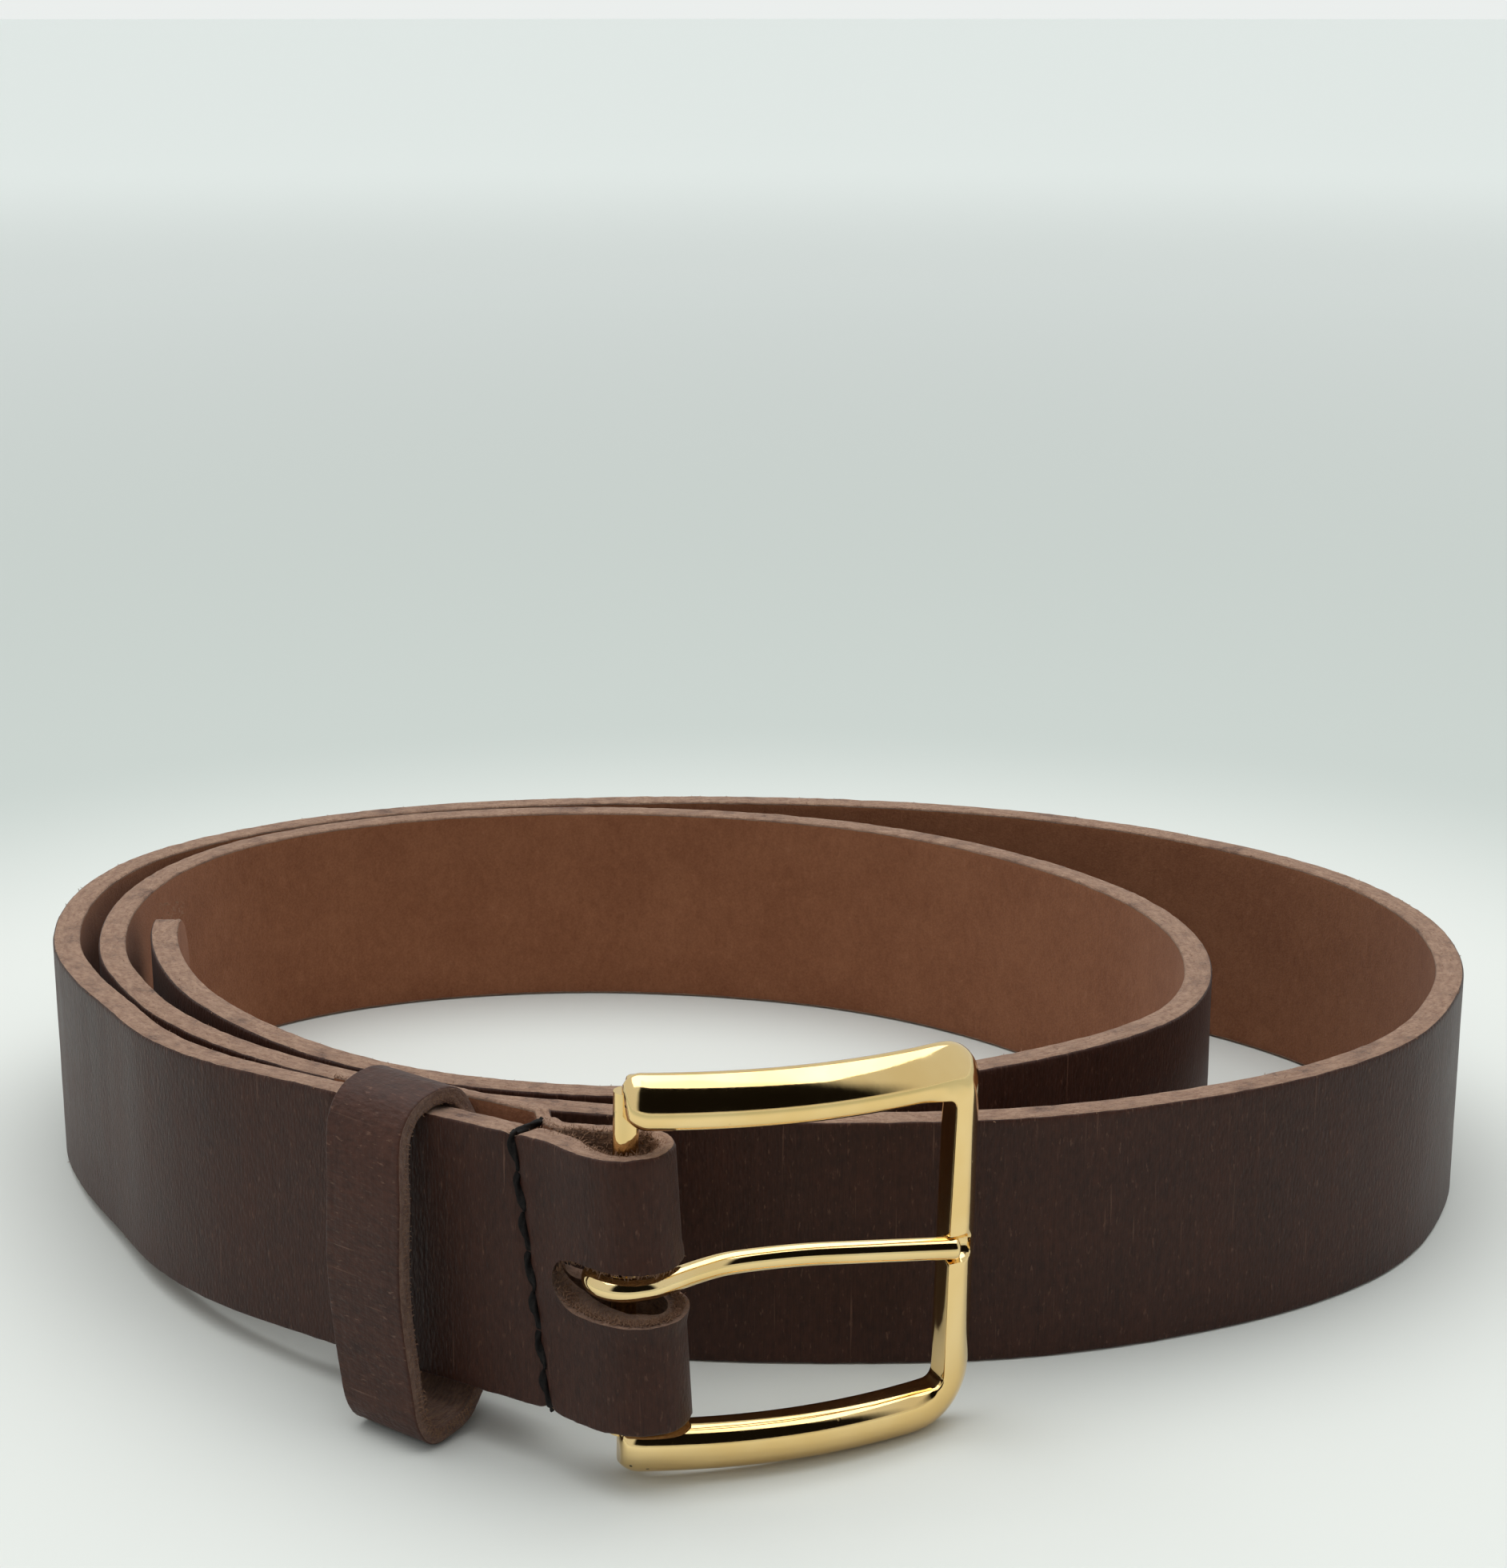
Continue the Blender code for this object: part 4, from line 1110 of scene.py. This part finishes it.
def make_buckle():
    place = buckle_place()
    half = BUCKLE_HEIGHT / 2
    bm = bmesh.new()
    frame_rails(bm, place)
    ends = [Vector((0, 0, z)) * MM for z in (-half + BAR_ENDS[0], half - BAR_ENDS[1])]
    rod(bm, place @ ends[0] / MM, place @ ends[1] / MM, BAR_RADIUS, 32)
    for side in (-1, 1):
        # the lugs that hold the bar, each a rounded block
        lug = bmesh.new()
        bmesh.ops.create_cube(lug, size=1)
        size = Vector((LUG_WIDE, LUG_DEEP, RAIL_HEIGHT - 1.8))
        inset = 1.4 if side > 0 else 2.6
        spot = Vector((inset, -0.75, side * (half - RAIL_HEIGHT / 2)))
        bmesh.ops.bevel(lug, geom=lug.edges[:], offset=0.22, segments=4, profile=0.5,
                affect="EDGES")
        lug.transform(Matrix.Translation(spot) @ Matrix.Diagonal((*size, 1)))
        for v in lug.verts:
            v.co = place @ (v.co * MM) / MM
        mesh = bpy.data.meshes.new("lug")
        lug.to_mesh(mesh)
        lug.free()
        bm.from_mesh(mesh)
        bpy.data.meshes.remove(mesh)
    own(new_piece("gold_buckle_frame", bm, [GOLD], 60), "buckle", "polished_gold",
        "buckle_frame")


LOOP_STEPS = 56
LOOP_START = -25  # degrees round the bar
LOOP_TURN = 245
LOOP_WIDER = 0.8  # the loop is wider where it comes round to the front


def make_prong():
    place = buckle_place()
    path = []
    for k in range(LOOP_STEPS + 1):
        share = k / LOOP_STEPS
        turn = radians(LOOP_START - LOOP_TURN * share)
        reach = PRONG_LOOP + LOOP_WIDER * share * share
        path.append((reach * cos(turn), reach * sin(turn)))
    shank = [Vector((u, w, 0)) for u, w in [path[-1]] + PRONG_SHANK]
    path += [(p.x, p.y) for p in smooth_route(shank, 0.5)[1:]]
    points = [place @ (Vector((u, -w, -PRONG_DROP)) * MM) / MM for u, w in path]
    radius = [PRONG_RADIUS] * len(points)
    ahead = (points[-1] - points[-2]).normalized()
    for k in range(1, 7):
        # a rounded tip
        turn = radians(15 * k - 3)
        points.append(points[len(path) - 1] + ahead * (0.75 * sin(turn)))
        radius.append(PRONG_RADIUS * (0.25 + 0.75 * cos(turn)))
    start = (points[0] - points[1]).normalized()
    for k in range(1, 5):
        turn = radians(20 * k)
        points.insert(0, points[0] + start * (0.5 * sin(radians(20))))
        radius.insert(0, PRONG_RADIUS * (0.3 + 0.7 * cos(turn)))
    bm = bmesh.new()
    tube(bm, points, radius, 32)
    own(new_piece("gold_prong", bm, [GOLD_WIRE], 60), "prong", "polished_gold_wire",
        "buckle_prong")


# ---- the keeper ----
KEEPER_BASE = rise(belt_plan(-20, 0))
KEEPER_JOINT_Z = 18  # height of the butt joint above the strap's edge
# the band's middle line: out from the grain face, up from the strap's lower edge
KEEPER_LOOP = [
    (-6.05, KEEPER_JOINT_Z - 0.2), (-6.05, 12), (-6.05, 5), (-6, 1.2),
    (-5.2, -1.8), (-2.8, -3.7), (1.4, -4.7), (4.6, -4.8),
    (6.4, -2.6), (7, 2.5), (7.1, 9.5), (6.9, 17),
    (6.5, 25), (5.6, 30), (4.2, 33.6), (2, 35.8),
    (-0.8, 36.6), (-3.4, 36.6), (-5.3, 35.5), (-6.05, 32.8), (-6.05, 27),
    (-6.05, KEEPER_JOINT_Z + 0.2),
]


def keeper_shift(w, z):
    """The loop is pulled askew: its front lies further from the buckle, more so above."""
    behind = -20.3 - 2.6 * smoothed((z - 30) / 6)
    in_front = -19 - 2.6 * smoothed((z + 6) / 24) - 2 * smoothed((z - 24) / 12)
    forward = smoothed((w + 6.05) / 6)
    return behind + (in_front - behind) * forward


KEEPER_ROWS = 18
KEEPER_ROUND = 0.35
KEEPER_WAVE = 0.07
KEEPER_GRAIN = 0.05
KEEPER_CREASE = 0.10  # a pressed line along each edge
CREASE_INSET = 1.3


def make_keeper():
    loop = smooth_route([Vector((w, z, 0)) for w, z in KEEPER_LOOP], 0.6)
    run = run_along(loop)
    half = KEEPER_WIDTH / 2
    shift = (sewn(1, 0, 20) - sewn(0, 0, 20)) / MM
    middle = [sewn(keeper_shift(p.x, p.y), p.x, KEEPER_BASE + p.y) / MM for p in loop]

    def place(i, depth, height, part):
        across = height - half
        here = middle[i] + shift * across
        ahead = middle[min(i + 1, len(loop) - 1)] - middle[max(i - 1, 0)]
        outward = shift.cross(ahead).normalized()
        rise_by = KEEPER_LEATHER / 2 - depth
        if part in (0, 3):
            rise_by += KEEPER_WAVE * wobble(run[i], height, 7, 1)
            rise_by += KEEPER_GRAIN * wobble(run[i] * 2.2, height * 0.4, 1.6, 2)
            line = exp(-((abs(across) - half + CREASE_INSET) / 0.45) ** 2)
            rise_by -= KEEPER_CREASE * line
        if part in (1, 3):
            here += shift * (0.09 * wobble(run[i], depth, 0.9, 3 + (across > 0)))
        return here + outward * rise_by

    bm = bmesh.new()
    section = section_rows(KEEPER_LEATHER, 0, KEEPER_WIDTH, KEEPER_ROWS, KEEPER_ROUND)
    band(bm, [section for _ in loop], run, place, KEEPER_ROWS)
    keeper = new_piece("keeper_leather_loop", bm, [KEEPER_SKIN, KEEPER_EDGE, ROUGH_INSIDE], 50)
    own(keeper, "keeper", "keeper_leather", "keeper_loop")
    fuzz = bmesh.new()
    for i in range(len(loop)):
        low = loop[i].y < 2 and loop[i].x > -3
        for side in (0, KEEPER_WIDTH):
            for _ in range(16 if low else 6):
                depth = random.uniform(0.4, 1) * KEEPER_LEATHER
                root = place(i, depth, side, 1)
                toward = scattered(shift * (1 if side else -1) * 0.5, 0.5).normalized()
                add_fibre(fuzz, root, toward, random.uniform(0.15, 0.6 if low else 0.3), 0.07)
    own(new_piece("keeper_fibres", fuzz, [FIBRE]), "keeper", "keeper_leather")


# ---- making it all ----
make_strap()
make_thread("seam_thread_near", SEAMS[0], FRONT_THREAD_W, BACK_THREAD_W,
        "seam_thread_buckle_side")
make_thread("seam_thread_far", SEAMS[1], FRONT_THREAD_W, BACK_THREAD_W + 0.15,
        "seam_thread_far_side")
strap_fibres()
make_buckle()
make_prong()
make_keeper()
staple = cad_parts["keeper_staple"]
for material_slot in staple.material_slots:
    material_slot.material = BRASSED


# ---- floor, light and camera ----
STAGE_NEAR = (0.72, 0.745, 0.715)
# painted shade: a darker ring of table round the belt
STAGE_PAINTED_SHADE = (0.52, 0.565, 0.54)
# painted light: the far table is paler, and this is also its glow colour
STAGE_PAINTED_LIGHT = (0.86, 0.91, 0.89)
# painted glow: how strongly the far table emits light, though it is no lamp
STAGE_PAINTED_GLOW = 0.36
TABLE_SIDES = 48
TABLE_RINGS = (0.4, 1, 3, 10, 40)


def make_stage():
    """A pale round table top, with painted shade in a ring round the belt and painted light
    far away, where it is paler and glows.
    """
    bm = bmesh.new()
    middle = bm.verts.new((0, 0, 0))
    rings = []
    for radius in TABLE_RINGS:
        turns = [2 * pi * k / TABLE_SIDES for k in range(TABLE_SIDES)]
        rings.append([bm.verts.new((radius * cos(turn), radius * sin(turn), 0))
                for turn in turns])
    for k in range(TABLE_SIDES):
        bm.faces.new((middle, rings[0][k], rings[0][(k + 1) % TABLE_SIDES]))
    for near, far in zip(rings, rings[1:]):
        join_rings(bm, far, near)
    mesh = bpy.data.meshes.new("pale_table")
    bm.to_mesh(mesh)
    bm.free()
    mat, tree, shader = new_material("pale_table")
    place = add(tree, "TexCoord").outputs["Object"]
    reach = add(tree, "VectorMath", {0: place}, operation="LENGTH").outputs["Value"]

    def fade(low, high, top=1):
        return ramp(tree, reach, low, high, 0, top, "SMOOTHSTEP")

    # painted shade in a ring round the belt, then painted light: paler table further out
    colour = mixed(tree, fade(0.16, 0.30), STAGE_NEAR, STAGE_PAINTED_SHADE)
    colour = mixed(tree, fade(0.32, 1.6), colour, STAGE_PAINTED_LIGHT)
    tree.links.new(colour, shader.inputs["Base Color"])
    shader.inputs["Roughness"].default_value = 0.75
    shader.inputs["Specular IOR Level"].default_value = 0.2
    # the far table glows: painted light
    shader.inputs["Emission Color"].default_value = (*STAGE_PAINTED_LIGHT, 1)
    tree.links.new(fade(0.5, 3, STAGE_PAINTED_GLOW), shader.inputs["Emission Strength"])
    mesh.materials.append(mat)
    placed("pale_table", mesh)


def area_light(name, spot, aim, size, power, in_gloss=True):
    light = bpy.data.lights.new(name, "AREA")
    light.shape = "RECTANGLE"
    light.size, light.size_y = size
    light.energy = power
    obj = placed(name, light)
    obj.location = spot
    obj.rotation_euler = (Vector(aim) - Vector(spot)).to_track_quat("-Z", "Y").to_euler()
    obj.visible_glossy = in_gloss


ROOM_BRIGHT = (0.97, 1, 0.985)
ROOM_DARK = (0.009, 0.008, 0.0065)
ROOM_STRENGTH = 0.68
ROOM_SEEN = 0.86  # strength of the room seen past the table's edge
# where the dark part fades in and out: height share of the direction, then azimuth
DARK_LOW = (0.05, 0.10)
DARK_HIGH = (0.975, 0.992)
DARK_LEFT = (-0.75, -0.5)
DARK_RIGHT = (0.95, 1.2)


def room_light():
    """A bright room all round, but for a darker part in front, where a viewer would be."""
    world = bpy.data.worlds.new("soft_room")
    bpy.context.scene.world = world
    world.use_nodes = True
    tree = world.node_tree
    tree.nodes.clear()
    aim = add(tree, "TexCoord").outputs["Generated"]
    parts = add(tree, "SeparateXYZ", {"Vector": aim})
    z = parts.outputs["Z"]
    ahead = add(tree, "Math", {0: parts.outputs["X"]}, operation="ARCTAN2")
    tree.links.new(times(tree, parts.outputs["Y"], -1), ahead.inputs[1])
    azimuth = ahead.outputs[0]

    dark = ramp(tree, z, *DARK_LOW, 0, 1, "SMOOTHSTEP")
    for part in (ramp(tree, z, *DARK_HIGH, 1, 0, "SMOOTHSTEP"),
            ramp(tree, azimuth, *DARK_LEFT, 0, 1, "SMOOTHSTEP"),
            ramp(tree, azimuth, *DARK_RIGHT, 1, 0, "SMOOTHSTEP")):
        dark = times(tree, dark, part)
    colour = mixed(tree, dark, ROOM_BRIGHT, ROOM_DARK)
    seen = add(tree, "LightPath").outputs["Is Camera Ray"]
    colour = mixed(tree, seen, colour, ROOM_BRIGHT)
    strength = ramp(tree, seen, 0, 1, ROOM_STRENGTH, ROOM_SEEN)
    back = add(tree, "Background", {"Color": colour, "Strength": strength})
    out = add(tree, "OutputWorld")
    tree.links.new(back.outputs[0], out.inputs["Surface"])


make_stage()
room_light()
area_light("overhead", (0, 0.12, 1), (0, 0, 0), (1.5, 1.2), 10)
area_light("front_fill", (0.1, -1.1, 0.75), (0, 0, 0), (1.4, 1), 3.2, False)

SENSOR = 36  # millimetres
LENS = 66.12  # millimetres
EYE = (0.0013, -0.41736, 0.1770)
EYE_PITCH = radians(74.87)

camera = bpy.data.cameras.new("camera")
camera.sensor_fit = "VERTICAL"
camera.sensor_width = SENSOR
camera.sensor_height = SENSOR
camera.lens = LENS
camera.clip_start = 0.01
eye = placed("camera", camera)
eye.location = EYE
eye.rotation_euler = (EYE_PITCH, 0, 0)
bpy.context.scene.camera = eye
bpy.context.scene.view_settings.view_transform = "Standard"
